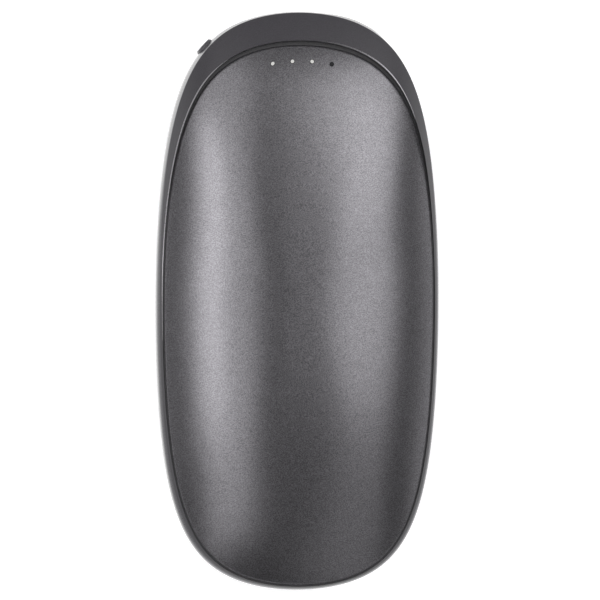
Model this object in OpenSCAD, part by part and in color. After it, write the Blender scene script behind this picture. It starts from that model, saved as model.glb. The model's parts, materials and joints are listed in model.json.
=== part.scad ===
// Rechargeable hand warmer: two heated metal panels set into a moulded frame with a broad collar,
// two round cells in a cradle, a control board with two charging ports, and a sprung power button.
// Millimetres. The back lies on z = 0, the long axis is Y with the ports at +Y, and X is the width.

/* [Body] */
// Width across the frame
body_w = 58; // [56:0.5:66]
// Length from end to end
body_l = 118; // [116:1:132]
// Height of each panel's crown above the mid plane
crown_h = 14.3; // [13.9:0.1:17]
// Depth of the flat resting land cut across the back crown
land_cut = 0.45; // [0.3:0.05:0.6]
// Wall thickness of the metal panels
panel_t = 0.9; // [0.6:0.1:1.1]
// Thickness of the frame's side wall
frame_wall = 3; // [2.6:0.1:3.2]

/* [Collar and openings] */
// Width of the collar's face at the port end
collar_w = 6.35; // [5.5:0.05:7.2]
// Height of the collar's inner edge above the mid plane, at the port end
collar_h = 8.4; // [8:0.1:9]
// Height of the collar's outer edge above the mid plane, at the port end
collar_edge_h = 5.4; // [5:0.1:6]
// Width of the frame's face along the sides
band_side = 1.15; // [1:0.05:1.6]
// Width of the frame's face at the plain end
band_end = 0.8; // [0.6:0.05:1.2]
// Height of the frame's lip above the mid plane, along the sides
lip_h = 4.1; // [3.8:0.1:4.6]
// Shadow gap between frame and panel along the sides
gap_side = 0.32; // [0.25:0.01:0.6]
// Shadow gap between collar and panel at the port end
gap_top = 1; // [0.7:0.05:1.3]

/* [Cell bay] */
// Length of the board's bay, from the port end to the cradle
port_bay_l = 27.8; // [27.4:0.1:29]
// Length of the free bay, from the plain end to the cradle
plain_bay_l = 21.1; // [18:0.1:24]
// Room for ears and screws between the cradle's side and the frame's side wall
ear_room = 5.45; // [5.3:0.05:6]
// Gap between the two cells
cell_gap = 0.8; // [0.5:0.1:1.2]

/* [Ports] */
// Width of the large port's metal shell
output_w = 13.2; // [12.8:0.1:13.6]
// Height of the large port's metal shell
output_h = 5.7; // [5.5:0.05:5.8]
// Depth of the large port's metal shell
output_l = 14; // [12:0.5:15]
// Width of the small port's metal shell
charge_w = 8.94; // [8.7:0.02:9.2]
// Height of the small port's metal shell
charge_h = 3.2; // [3:0.05:3.4]
// Depth of the small port's metal shell
charge_l = 7.35; // [6.5:0.05:8]
// Gap between the two shells
port_gap = 1.8; // [1.4:0.1:2.4]

/* [Power button] */
// Width of the button's cap along the rim
button_w = 3.7; // [3:0.1:4.2]
// Height of the button's cap across the rim
button_h = 6.5; // [5:0.1:7]
// How far the cap stands out of the frame
button_proud = 0.55; // [0.4:0.05:0.8]
// Travel of the button
button_travel = 0.3; // [0.2:0.05:0.35]

/* [Indicator] */
// Number of charge lamps
lamp_count = 4; // [3, 4, 5]
// Distance between lamps
lamp_pitch = 4; // [3:0.1:4.2]
// Diameter of a lamp's hole in the panel
lamp_hole_d = 1.05; // [0.8:0.05:1.2]

/* [Hidden] */

// Curve quality: segments round a lofted form, and round small turned ones
loft_n = 64;
round_n = 48;
// One overrun for every cut
over = 1;
// Small running clearance between fitted pieces
fit = 0.1;

// Plan outlines are ellipses swollen at their shoulders:
// [half width, length to +Y, length to -Y, side swell shares [+Y, -Y], end swell shares [+Y, -Y]]
rim_side_shares = [0.215, 0.265];
rim_end_shares = [0.229, 0.242];
opening_side_shares = [0.157, 0.224];
opening_end_shares = [0.233, 0.254];
rise_start_share = 0.07;
half_w = body_w / 2;
half_l = body_l / 2;
rim = [half_w, half_l, half_l, rim_side_shares, rim_end_shares];
lip = [half_w - band_side, half_l - collar_w, half_l - band_end, opening_side_shares, opening_end_shares];
panel = [lip[0] - gap_side, lip[1] - gap_top, lip[2] - gap_side, lip[3], lip[4]];
mid_z = crown_h - land_cut;

// Frame section: convex side wall, crisp edge, face, chamfered lip, ledge and inner wall
side_bulge_in = 0.1;
side_bulge_h = 1.4;
edge_in = 0.5;
edge_h = 2.7;
collar_bulge_h = 2.6;
collar_edge_in = 0.35;
ledge_w = 1.9;
ledge_t = 1.8;
lip_chamfer = 0.15;
lip_depth = 1.9;
collar_lip_depth = 2.1;
ledge_slope = 0.3;
ledge_in = inset(lip, ledge_w);
wall_in = inset(rim, frame_wall);

// Panel section: how the crown falls to the edge, then a rounded edge and a short rim
crown_power = 2.6;
crown_power_gain = 0.8;
panel_below_lip = 0.15;
panel_below_collar = 0.8;
edge_round = 0.35;
edge_round_shares = [[1, 0], [0.28, 0.3], [0, 1]];
crown_shares = [0.14, 0.27, 0.4, 0.51, 0.61, 0.7, 0.78, 0.86, 0.93];
inner_shares = [0.93, 0.82, 0.68, 0.5, 0.3, 0.12];
gasket_t = 0.3;
gasket_w = 0.8;

// Heater film and insulation
heater_t = 0.25;
heater_gap = 0.25;
heater_reach_share = 0.86;
heater_shares = [0.16, 0.38, 0.56, 0.7, 0.79];
film_depth = panel_t + heater_gap + heater_t;
insulation_w = 16;
insulation_in = 9.55;
insulation_room = 1.5;
insulation_top = crown_h - film_depth - insulation_room;

// Cradle that holds the cells, between the two bays and inside the frame's side walls
cradle_h = 4.5;
cradle_side = 1.6;
cradle_end_t = 1.4;
cradle_fit = 0.15;
cradle_play = 0.3;
cradle_half_w = half_w - frame_wall - ear_room;
cradle_top_y = half_l - port_bay_l;
cradle_end_y = plain_bay_l - half_l;

// Cells that fill the cradle, and their end fittings
crimp_from_top = 4.2;
crimp_w = 1.4;
crimp_depth = 0.5;
cell_edge = 0.6;
terminal_d = 7;
terminal_h = 0.2;
strip_t = 0.2;
strip_w = 6;
strip_end = 4;
cell_d = cradle_half_w - cradle_side - cradle_fit - cell_gap / 2;
cell_r = cell_d / 2;
cell_x = cell_r + cell_gap / 2;
cell_top_y = cradle_top_y - cradle_end_t - cradle_play - strip_t - terminal_h;
cell_end_y = cradle_end_y + cradle_end_t + cradle_play + strip_t;
cell_l = cell_top_y - cell_end_y;
cell_y = (cell_top_y + cell_end_y) / 2;
insulation_l = cell_l - 2 * insulation_in;

// Windows in the cradle's web, notches for the wires, and ears on the frame's lugs
web_bar_h = 2.4;
web_window_w = 5;
web_window_count = 2;
web_post_l = 8;
web_end_l = 8.55;
web_window_l = (cell_l - 2 * web_end_l - (web_window_count - 1) * web_post_l) / web_window_count;
wire_notch_d = 2.2;
solder_l = 1.5;
ear_r = 1.8;
ear_t = 1.8;
ear_reach = 2.15;
ear_x = cradle_half_w + ear_reach;
ear_from_top = 11.2;
ear_from_end = 11.9;
ear_ys = [cradle_top_y - ear_from_top, cradle_end_y + ear_from_end];
lug_w = 4.6;
lug_h = lip_h - lip_depth;
lug_in = 1.9;
lug_sink = 0.3;

// Screws
screw_d = 1.9;
screw_hole_d = 2;
screw_head_d = 3.6;
screw_head_h = 1.3;
screw_l = 4;
drive_d = 1.5;
drive_depth = 0.7;
cross_w = 0.5;

// Main board
board_t = 1;
board_gap = 0.4;
board_half_w = 17;
board_end_y = cradle_top_y + 2 * cradle_play;
board_top = -output_h / 2;
board_low = board_top - board_t;
board_edge = inset(wall_in, board_gap);
board_hole_x = 13.6;
board_hole_in = 3;
pad_w = 5.2;
pad_h = 2.6;
pad_l = 5;

// Ports: shells, tongues and contacts
shell_t = 0.3;
port_round = 0.5;
port_fit = 0.2;
port_set_back = 0.9;
ports_w = output_w + port_gap + charge_w;
ports_shift = 0.8;
output_x = -ports_w / 2 + output_w / 2 + ports_shift;
charge_x = ports_w / 2 - charge_w / 2 + ports_shift;
output_y = rim_y(output_x - output_w / 2) - port_set_back;
charge_y = rim_y(charge_x + charge_w / 2) - port_set_back;
charge_z = board_top + charge_h / 2;
output_tongue_w = 11.1;
output_tongue_t = 1.84;
output_tongue_above = 0.8;
output_tongue_back = 1.1;
output_base_l = 3;
output_base_y = output_y - output_l + shell_t + output_base_l;
output_tongue_low = output_h / 2 - shell_t - output_tongue_above - output_tongue_t;
output_contact_w = 1;
output_contact_t = 0.15;
output_contact_in = 0.6;
output_contact_places = [-3.5, -1, 1, 3.5];
finger_w = 2.4;
finger_l = 5;
finger_x = 3.2;
finger_in = 3;
charge_tongue_w = 6.69;
charge_tongue_t = 0.7;
charge_tongue_back = 1.2;
charge_base_l = 1.7;
charge_base_y = charge_y - charge_l + shell_t + charge_base_l;
charge_contact_w = 0.25;
charge_contact_t = 0.08;
charge_contact_pitch = 0.5;
charge_contact_count = 12;
charge_contact_in = 0.4;

// Button and its switch, along the rim's own normal, beside the large port
button_fit = 0.12;
button_edge = 0.28;
seat_depth = 2.6;
seat_gap = 0.05;
flange_t = 0.75;
flange_w = 5.2;
flange_h = 7.5;
flange_room = 0.3;
nub_d = 2;
nub_l = 0.6;
plunger_d = 1.8;
plunger_out = 0.7;
plunger_in = 0.6;
switch_l = 3;
switch_w = 3.9;
switch_h = 4.35;
switch_fit = 0.1;
flange_back = -seat_depth - seat_gap - flange_t;
plunger_front = flange_back - nub_l - seat_gap;
switch_front = plunger_front - plunger_out;
switch_port_gap = 1;
button_angle = clear_angle(output_x - output_w / 2 - switch_port_gap);
button_at = plan(rim, button_angle);
button_turn = plan_normal(rim, button_angle);

// Chips on the main board
chip_w = 5;
chip_t = 0.9;
chip_in = 10.6;
chip_at = [9.7, board_end_y + chip_in];
inductor_w = 6.2;
inductor_t = 3;
inductor_core_d = 3.4;
inductor_cap_t = 0.5;
inductor_in = 4.4;
inductor_at = [4, board_end_y + inductor_in];
capacitor_size = [1.6, 0.9, 0.9];
capacitor_in = 5.8;
capacitor_at = [14.2, board_end_y + capacitor_in];
capacitor_pitch = 2;
capacitor_count = 4;

// Indicator board, lamps and light guide
lamp_row_in = 3.2;
lamp_row_y = panel[1] - lamp_row_in;
lamp_row_r = 32.6;
lamp_size = [1, 1.6, 0.55];
lamp_recess = 0.12;
guide_fit = 0.05;
guide_post_d = 1.8;
guide_bar_t = 1.1;
guide_bar_w = 2.4;
guide_foot = 1.2;
guide_over_lamp = 0.1;
tab_board_t = 0.8;
tab_board_l = 7.6;
tab_board_side = 2.6;
tab_board_gap = 0.2;
tab_low = output_h / 2 + tab_board_gap;
tab_top = tab_low + tab_board_t;
tab_half_w = lamp_x(lamp_count - 1) + tab_board_side;
tab_front_y = lamp_row_y + lamp_size[1];
link_pin_w = 0.5;
link_pitch = 1.27;
link_count = 4;
link_block_h = 1.6;
link_block_w = 1.4;
link_x = output_x + (output_w + port_gap) / 2;
link_y = charge_y - charge_l - link_count * link_pitch / 2 - link_pin_w;

// Wires, heater tails and sensors
wire_d = 1.1;
wire_bend = 1.6;
valley_h = 6.4;
lead_half_gap = 1.6;
lead_land = 2.4;
tail_w = 3;
tail_t = 0.2;
tail_x = -6.5;
socket_size = [4.4, 2.2, 1.2];
socket_in = 3.6;
socket_y = board_end_y + socket_in;
tail_run = 3.9;
tail_from_y = socket_y - tail_run;
tail_gap = 0.2;
sensor_d = 1.6;
sensor_in = 30;
sensor_y = sensor_in - half_l;
sensor_gap = 0.25;

// Smooth step from 0 to 1
function ease(v) = let (c = min(max(v, 0), 1)) c * c * (3 - 2 * c);

// Half of an outline that a value along Y lies in: 0 towards +Y, 1 towards -Y
function half_of(v) = v >= 0 ? 0 : 1;

// Point of outline o at angle t, drawn in towards its middle by a share
function plan(o, t, share = 1) = let (
    h = half_of(sin(t))
) share * [
    o[0] * cos(t) * (1 + o[3][h] * sin(t) * sin(t)),
    o[1 + h] * sin(t) * (1 + o[4][h] * cos(t) * cos(t))
];

// Outline o moved in by a distance d
function inset(o, d) = [o[0] - d, o[1] - d, o[2] - d, o[3], o[4]];

// Direction of outline o's outward normal at angle t
function plan_normal(o, t) = let (
    h = half_of(sin(t)),
    ss = sin(t) * sin(t),
    cc = cos(t) * cos(t),
    dx = o[0] * sin(t) * (o[3][h] * (2 * cc - ss) - 1),
    dy = o[1 + h] * cos(t) * (o[4][h] * (cc - 2 * ss) + 1)
) atan2(-dx, dy);

// Root g of g * (1 + swell * (1 - g * g)) = target, by repeated substitution
function swell_root(target, swell, g = 0, steps = 12) =
    steps == 0 ? g : swell_root(target, swell, target / (1 + swell * (1 - g * g)), steps - 1);

// Half width of outline o at height y, and height y of the rim's upper end at x
function half_width(o, y) = let (
    h = half_of(y),
    t = asin(swell_root(min(abs(y) / o[1 + h], 1), o[4][h]))
) o[0] * cos(t) * (1 + o[3][h] * sin(t) * sin(t));
function rim_y(x) = let (
    t = acos(swell_root(abs(x) / half_w, rim_side_shares[0]))
) plan(rim, t)[1];

// X of the switch's inner corner for a button at angle t, and the angle that puts it at x, by halving
function switch_corner_x(t) = let (
    out = plan_normal(rim, t)
) plan(rim, t)[0] + (switch_front - switch_l) * cos(out) + switch_w / 2 * sin(out);
function clear_angle(x, low = 90, high = 180, steps = 24) = let (
    mid = (low + high) / 2
) steps == 0 ? mid : switch_corner_x(mid) > x
    ? clear_angle(x, mid, high, steps - 1) : clear_angle(x, low, mid, steps - 1);

// How far the frame has risen to its collar at angle t, from 0 along the sides to 1 at the port end
function rise(t) = let (
    start = rise_start_share * body_l
) ease((plan(lip, t)[1] - start) / (lip[1] - start));
function between(low, high, t) = low + (high - low) * rise(t);

// Heights above the mid plane, round the body
function lip_top(t) = between(lip_h, collar_h, t);
function seat_top(t) = between(lip_h - lip_depth, collar_h - collar_lip_depth, t);
function panel_edge(t) = between(lip_h - panel_below_lip, collar_h - panel_below_collar, t);

// Crown of a panel: a share of the way out to outline o, lowered by d for an inner face
function crown_z(t, share, d = 0) = crown_h - d
    - (crown_h - panel_edge(t)) * pow(share, crown_power + crown_power_gain * sin(t) * sin(t));
function crown_point(o, t, share, d = 0) = let (p = plan(o, t, share)) [p[0], p[1], crown_z(t, share, d)];

// Angle at which the line from the middle through [x, y] meets the panel's outline, and the outer crown there
function angle_to(x, y, t, steps = 12) = let (
    h = half_of(y)
) steps == 0 ? t : angle_to(x, y, atan2(
    y / panel[1 + h] / (1 + panel[4][h] * cos(t) * cos(t)),
    x / panel[0] / (1 + panel[3][h] * sin(t) * sin(t))
), steps - 1);
function crown_at(x, y) = let (
    t = angle_to(x, y, atan2(y, x))
) crown_z(t, norm([x, y]) / norm(plan(panel, t)));

// Places of the charge lamps, on a shallow arc
function lamp_x(i) = (i - (lamp_count - 1) / 2) * lamp_pitch;
function lamp_y(i) = lamp_row_y - lamp_row_r + sqrt(lamp_row_r * lamp_row_r - lamp_x(i) * lamp_x(i));

// Angles round a loft
function turn(i) = 360 * i / loft_n;

// Closed ring solid: one closed section, as a list of points, at each step round the loop
module ring_solid(sections) {
    n = len(sections);
    m = len(sections[0]);
    points = [for (s = sections) each s];
    faces = [
        for (i = [0:n - 1], j = [0:m - 1])
        let (k = (j + 1) % m, here = i * m, next = ((i + 1) % n) * m)
        each [[here + j, here + k, next + k], [here + j, next + k, next + j]]
    ];
    polyhedron(points, faces);
}

// Solid closed by a pole at each end: rings of equal count from the first pole to the last
module pole_solid(first, rings, last) {
    m = len(rings);
    n = len(rings[0]);
    points = [first, for (r = rings) each r, last];
    faces = [
        for (i = [0:n - 1]) [0, 1 + (i + 1) % n, 1 + i],
        for (j = [0:m - 2], i = [0:n - 1])
        let (a = 1 + j * n + i, b = 1 + j * n + (i + 1) % n, c = b + n, d = a + n)
        each [[a, b, c], [a, c, d]],
        for (i = [0:n - 1]) [m * n + 1, 1 + (m - 1) * n + i, 1 + (m - 1) * n + (i + 1) % n]
    ];
    polyhedron(points, faces);
}

// Lifts a piece from the mid plane to its place, and mirrors one to the back
module at_mid() {
    translate([0, 0, mid_z]) children();
}
module at_back() {
    translate([0, 0, mid_z]) mirror([0, 0, 1]) children();
}
module at_button() {
    translate([button_at[0], button_at[1], mid_z]) rotate([0, 0, button_turn]) children();
}
module both_faces() {
    children();
    mirror([0, 0, 1]) children();
}

// Rectangle with round corners, centred
module round_rect(w, h, r) {
    square([w - 2 * r, h], center = true);
    square([w, h - 2 * r], center = true);
    for (x = [-1, 1], y = [-1, 1]) {
        translate([x * (w / 2 - r), y * (h / 2 - r)]) circle(r, $fn = round_n);
    }
}

// Upright slot shape extruded along +X from x0 to x1, w wide along Y and h high
module upright_slot(w, h, x0, x1) {
    translate([x0, 0, 0]) rotate([90, 0, 90]) linear_extrude(x1 - x0) {
        square([w, h - w], center = true);
        for (s = [-1, 1]) {
            translate([0, s * (h - w) / 2]) circle(w / 2, $fn = round_n);
        }
    }
}

// Prism along Y with a rounded section, its mouth at y and running back by l
module port_prism(x, y, z, w, h, r, l) {
    translate([x, y, z]) rotate([90, 0, 0]) linear_extrude(l) round_rect(w, h, r);
}

// Frame section at angle t, from the mid plane out and round through both faces
function at_height(p, z) = [p[0], p[1], z];
function half_section(t) = [
    at_height(plan(inset(rim, side_bulge_in), t), between(side_bulge_h, collar_bulge_h, t)),
    at_height(plan(inset(rim, between(edge_in, collar_edge_in, t)), t), between(edge_h, collar_edge_h, t)),
    at_height(plan(inset(lip, -lip_chamfer), t), lip_top(t)),
    at_height(plan(lip, t), lip_top(t) - lip_chamfer),
    at_height(plan(lip, t), seat_top(t)),
    at_height(plan(ledge_in, t), seat_top(t)),
    at_height(plan(ledge_in, t), seat_top(t) - ledge_t),
    at_height(plan(wall_in, t), seat_top(t) - ledge_t - ledge_slope)
];
function flip(points) = [for (i = [len(points) - 1:-1:0]) at_height(points[i], -points[i][2])];
function frame_section(t) = concat([at_height(plan(rim, t), 0)], half_section(t), flip(half_section(t)));

module frame() {
    color([0.16, 0.16, 0.17]) difference() {
        union() {
            at_mid() ring_solid([for (i = [0:loft_n - 1]) frame_section(turn(i))]);
            at_mid() frame_lugs();
        }
        at_mid() port_windows();
        at_button() button_hole();
        at_mid() lug_holes();
    }
}

// Lugs inside the side walls that the cradle's ears stand on
module frame_lugs() {
    for (y = ear_ys, side = [-1, 1]) {
        from_x = ear_x - lug_in;
        lug_l = half_width(wall_in, y) + lug_sink - from_x;
        translate([side * (from_x + lug_l / 2), y, -lug_h / 2]) cube([lug_l, lug_w, lug_h], center = true);
    }
}
module lug_holes() {
    for (y = ear_ys, side = [-1, 1]) {
        translate([side * ear_x, y, -lug_h - over]) {
            cylinder(lug_h + 2 * over, d = screw_hole_d, $fn = round_n);
        }
    }
}

// Windows for both ports, through the end wall
module port_windows() {
    reach = frame_wall + collar_w;
    port_prism(
        output_x, half_l + over, 0,
        output_w + 2 * port_fit, output_h + 2 * port_fit, port_round + port_fit, reach
    );
    port_prism(
        charge_x, half_l + over, charge_z,
        charge_w + 2 * port_fit, charge_h + 2 * port_fit, (charge_h + 2 * port_fit) / 2 - fit, reach
    );
}

// Hole for the button's cap, with a flat seat for its flange inside
module button_hole() {
    upright_slot(button_w + 2 * button_fit, button_h + 2 * button_fit, -frame_wall - over, over);
    translate([-seat_depth - frame_wall / 2, 0, 0]) {
        cube([frame_wall, flange_w + 2 * flange_room, flange_h + 2 * flange_room], center = true);
    }
}

// Rings of a panel: outer crown, rounded edge, short rim, and the inner face
function ring(o, share, d) = [for (i = [0:loft_n - 1]) crown_point(o, turn(i), share, d)];
function edge_ring(s) = [
    for (i = [0:loft_n - 1])
    let (
        t = turn(i),
        start = crown_z(t, 1 - edge_round / panel[0]),
        foot = panel_edge(t) - edge_round
    )
    at_height(plan(inset(panel, edge_round * s[0]), t), start + (foot - start) * s[1])
];
function rim_ring(d, lift) = [
    for (i = [0:loft_n - 1]) at_height(plan(inset(panel, d), turn(i)), seat_top(turn(i)) + lift)
];
function under_ring() = [
    for (i = [0:loft_n - 1])
    at_height(plan(inset(panel, panel_t), turn(i)), panel_edge(turn(i)) - panel_t)
];
module panel_shell() {
    inner = inset(panel, panel_t);
    pole_solid(
        [0, 0, crown_h],
        concat(
            [for (s = crown_shares) ring(panel, s, 0)],
            [for (s = edge_round_shares) edge_ring(s)],
            [rim_ring(0, gasket_t), rim_ring(panel_t, gasket_t), under_ring()],
            [for (s = inner_shares) ring(inner, s, panel_t)]
        ),
        [0, 0, crown_h - panel_t]
    );
}

module front_panel() {
    color([0.36, 0.36, 0.38]) difference() {
        at_mid() panel_shell();
        for (i = [0:lamp_count - 1]) {
            translate([lamp_x(i), lamp_y(i), mid_z]) cylinder(crown_h, d = lamp_hole_d, $fn = round_n);
        }
    }
}
module back_panel() {
    color([0.36, 0.36, 0.38]) difference() {
        at_back() panel_shell();
        translate([-half_w, -half_l, -crown_h]) cube([body_w, body_l, crown_h]);
    }
}

// Adhesive gasket on the ledge, under a panel's rim
module gasket_ring() {
    function section(t) = [
        at_height(plan(panel, t), seat_top(t)),
        at_height(plan(panel, t), seat_top(t) + gasket_t),
        at_height(plan(inset(panel, gasket_w), t), seat_top(t) + gasket_t),
        at_height(plan(inset(panel, gasket_w), t), seat_top(t))
    ];
    ring_solid([for (i = [0:loft_n - 1]) section(turn(i))]);
}
module front_gasket() {
    color([0.1, 0.1, 0.1]) at_mid() gasket_ring();
}
module back_gasket() {
    color([0.1, 0.1, 0.1]) at_back() gasket_ring();
}

// Heater film, shaped to the inside of a panel
module heater_film() {
    outer = panel_t + heater_gap;
    inner = outer + heater_t;
    shape = inset(panel, outer);
    pole_solid(
        [0, 0, crown_h - outer],
        concat(
            [for (s = heater_shares) ring(shape, s, outer)],
            [ring(shape, heater_reach_share, outer), ring(shape, heater_reach_share, inner)],
            [for (i = [len(heater_shares) - 1:-1:0]) ring(shape, heater_shares[i], inner)]
        ),
        [0, 0, crown_h - inner]
    );
}
module front_heater() {
    color([0.72, 0.42, 0.12]) at_mid() heater_film();
}
module back_heater() {
    color([0.72, 0.42, 0.12]) at_back() heater_film();
}

// Insulation pad between a heater and the cells, hollowed to sit on both
module insulation_pad() {
    difference() {
        translate([-insulation_w / 2, cell_y - insulation_l / 2, cell_r / 2]) {
            cube([insulation_w, insulation_l, insulation_top - cell_r / 2]);
        }
        cell_bores(cell_r + fit / 2);
        translate([0, cell_y, valley_h]) rotate([90, 0, 0]) {
            cylinder(insulation_l + 2 * over, d = wire_d + 4 * fit, center = true, $fn = round_n);
        }
        translate([-cell_gap, cell_y - insulation_l, 0]) cube([2 * cell_gap, 2 * insulation_l, valley_h]);
    }
}
module front_insulation() {
    color([0.86, 0.86, 0.82]) at_mid() insulation_pad();
}
module back_insulation() {
    color([0.86, 0.86, 0.82]) at_back() insulation_pad();
}

// Cylinders on both cells' axes, longer than the cells
module cell_bores(r) {
    for (side = [-1, 1]) {
        translate([side * cell_x, cell_y, 0]) rotate([90, 0, 0]) {
            cylinder(cell_l + 2 * (terminal_h + strip_t + cradle_play), r = r, center = true, $fn = round_n);
        }
    }
}

// Round cell with a crimp near its terminal end, along +Y
module cell() {
    crimp = cell_l - crimp_from_top;
    rotate([-90, 0, 0]) rotate_extrude($fn = round_n) polygon([
        [0, 0],
        [cell_r - cell_edge, 0],
        [cell_r, cell_edge],
        [cell_r, crimp - crimp_w / 2],
        [cell_r - crimp_depth, crimp],
        [cell_r, crimp + crimp_w / 2],
        [cell_r, cell_l - cell_edge],
        [cell_r - cell_edge, cell_l],
        [terminal_d / 2, cell_l],
        [terminal_d / 2, cell_l + terminal_h],
        [0, cell_l + terminal_h]
    ]);
}
module cell_left() {
    color([0.2, 0.45, 0.7]) at_mid() translate([-cell_x, cell_end_y, 0]) cell();
}
module cell_right() {
    color([0.2, 0.45, 0.7]) at_mid() translate([cell_x, cell_end_y, 0]) cell();
}

// Cradle: rails and web hollowed to the cells, end walls, ears, and pads for the board
module cell_cradle() {
    bay_l = cradle_top_y - cradle_end_y;
    color([0.78, 0.78, 0.76]) at_mid() difference() {
        union() {
            translate([-cradle_half_w, cradle_end_y, -cradle_h]) {
                cube([2 * cradle_half_w, bay_l, 2 * cradle_h]);
            }
            cradle_ears();
            board_pads();
        }
        cradle_bores();
        strip_slots();
        web_windows();
        wire_notches();
        ear_holes();
        pad_holes();
    }
}
module cradle_bores() {
    bore_l = cradle_top_y - cradle_end_y - 2 * cradle_end_t;
    for (side = [-1, 1]) {
        translate([side * cell_x, cradle_end_y + cradle_end_t + bore_l, 0]) rotate([90, 0, 0]) {
            cylinder(bore_l, r = cell_r + cradle_fit, $fn = round_n);
        }
    }
}
module cradle_ears() {
    for (y = ear_ys, side = [-1, 1]) {
        translate([side * ear_x, y, 0]) cylinder(ear_t, r = ear_r, $fn = round_n);
        translate([side * (ear_x - ear_reach / 2) - ear_reach, y - ear_r, 0]) {
            cube([2 * ear_reach, 2 * ear_r, ear_t]);
        }
    }
}
module ear_holes() {
    for (y = ear_ys, side = [-1, 1]) {
        translate([side * ear_x, y, -over]) cylinder(ear_t + 2 * over, d = screw_hole_d + fit, $fn = round_n);
    }
}
module board_pads() {
    for (side = [-1, 1]) {
        translate([side * board_hole_x - pad_w / 2, cradle_top_y - cradle_end_t, board_low - pad_h]) {
            cube([pad_w, pad_l + cradle_end_t, pad_h]);
        }
    }
}
module pad_holes() {
    for (side = [-1, 1]) {
        translate([side * board_hole_x, board_end_y + board_hole_in, board_low - pad_h - over]) {
            cylinder(pad_h + 2 * over, d = screw_hole_d, $fn = round_n);
        }
    }
}

// Hollows above and below a bar of the web
module web_windows() {
    for (i = [0:web_window_count - 1], side = [-1, 1]) {
        y = cell_y + (i - (web_window_count - 1) / 2) * (web_window_l + web_post_l);
        translate([0, y, side * (web_bar_h / 2 + cradle_h)]) {
            cube([web_window_w, web_window_l, 2 * cradle_h], center = true);
        }
    }
}

// Slots that let the nickel strips pass the web at both ends of the cells
module strip_slots() {
    slot_l = cradle_play + terminal_h + strip_t;
    for (y = [cradle_top_y - cradle_end_t - slot_l, cradle_end_y + cradle_end_t]) {
        translate([-cell_x, y, -strip_w / 2 - fit]) cube([2 * cell_x, slot_l, strip_w + 2 * fit]);
    }
}

// Notches in both end walls where the leads rise from the strips
module wire_notches() {
    foot = strip_w / 2 - solder_l - fit;
    for (y = [cradle_top_y - cradle_end_t - cradle_play, cradle_end_y - over]) {
        translate([-wire_notch_d, y, foot]) {
            cube([2 * wire_notch_d, cradle_end_t + cradle_play + over, cradle_h - foot + over]);
        }
    }
}

// Screw with a countersunk cross drive, head up, its head's underside at z = 0
module screw(l) {
    difference() {
        union() {
            translate([0, 0, -l]) cylinder(l, d = screw_d, $fn = round_n);
            cylinder(screw_head_h, d = screw_head_d, $fn = round_n);
        }
        translate([0, 0, screw_head_h]) {
            cube([drive_d, cross_w, 2 * drive_depth], center = true);
            cube([cross_w, drive_d, 2 * drive_depth], center = true);
        }
    }
}
module cradle_screws() {
    color([0.75, 0.75, 0.78]) at_mid() for (y = ear_ys, side = [-1, 1]) {
        translate([side * ear_x, y, ear_t]) screw(screw_l);
    }
}
module board_screws() {
    color([0.75, 0.75, 0.78]) at_mid() for (side = [-1, 1]) {
        translate([side * board_hole_x, board_end_y + board_hole_in, board_top]) screw(board_t + pad_h - fit);
    }
}

// Nickel strips welded across the cells' ends
module positive_strip() {
    color([0.8, 0.79, 0.75]) at_mid() {
        translate([-cell_x - strip_end, cell_top_y + terminal_h, -strip_w / 2]) {
            cube([2 * (cell_x + strip_end), strip_t, strip_w]);
        }
    }
}
module negative_strip() {
    color([0.8, 0.79, 0.75]) at_mid() {
        translate([-cell_x - strip_end, cell_end_y - strip_t, -strip_w / 2]) {
            cube([2 * (cell_x + strip_end), strip_t, strip_w]);
        }
    }
}

// Wire that rises from [y0, z0], runs along Y at height h and comes down to [y1, z1], with round bends
module bridge_wire(x, y0, z0, y1, z1, h) {
    run = y1 - y0 - 2 * wire_bend;
    translate([x, y0, z0]) cylinder(h - wire_bend - z0, d = wire_d, $fn = round_n);
    translate([x, y1, z1]) cylinder(h - wire_bend - z1, d = wire_d, $fn = round_n);
    translate([x, y0 + wire_bend, h]) rotate([-90, 0, 0]) cylinder(run, d = wire_d, $fn = round_n);
    translate([x, y0 + wire_bend, h - wire_bend]) rotate([90, 0, -90]) wire_elbow();
    translate([x, y1 - wire_bend, h - wire_bend]) rotate([90, 0, 90]) wire_elbow();
}

// Quarter bend with a short straight end on each side, inside the straight runs that it joins
module wire_elbow() {
    rotate_extrude(angle = 90, $fn = round_n) translate([wire_bend, 0]) circle(d = wire_d, $fn = round_n);
    translate([wire_bend, 0, 0]) rotate([90, 0, 0]) cylinder(fit, d = wire_d, $fn = round_n);
    translate([0, wire_bend, 0]) rotate([0, -90, 0]) cylinder(fit, d = wire_d, $fn = round_n);
}
module positive_lead() {
    color([0.75, 0.1, 0.08]) at_mid() bridge_wire(
        -lead_half_gap, cell_top_y + terminal_h + strip_t + (wire_d + fit) / 2, strip_w / 2 - solder_l,
        board_end_y + lead_land, board_top, valley_h
    );
}
module negative_lead() {
    color([0.07, 0.07, 0.08]) at_mid() bridge_wire(
        0, cell_end_y - strip_t - (wire_d + fit) / 2, strip_w / 2 - solder_l,
        board_end_y + lead_land, board_top, valley_h
    );
}

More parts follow.
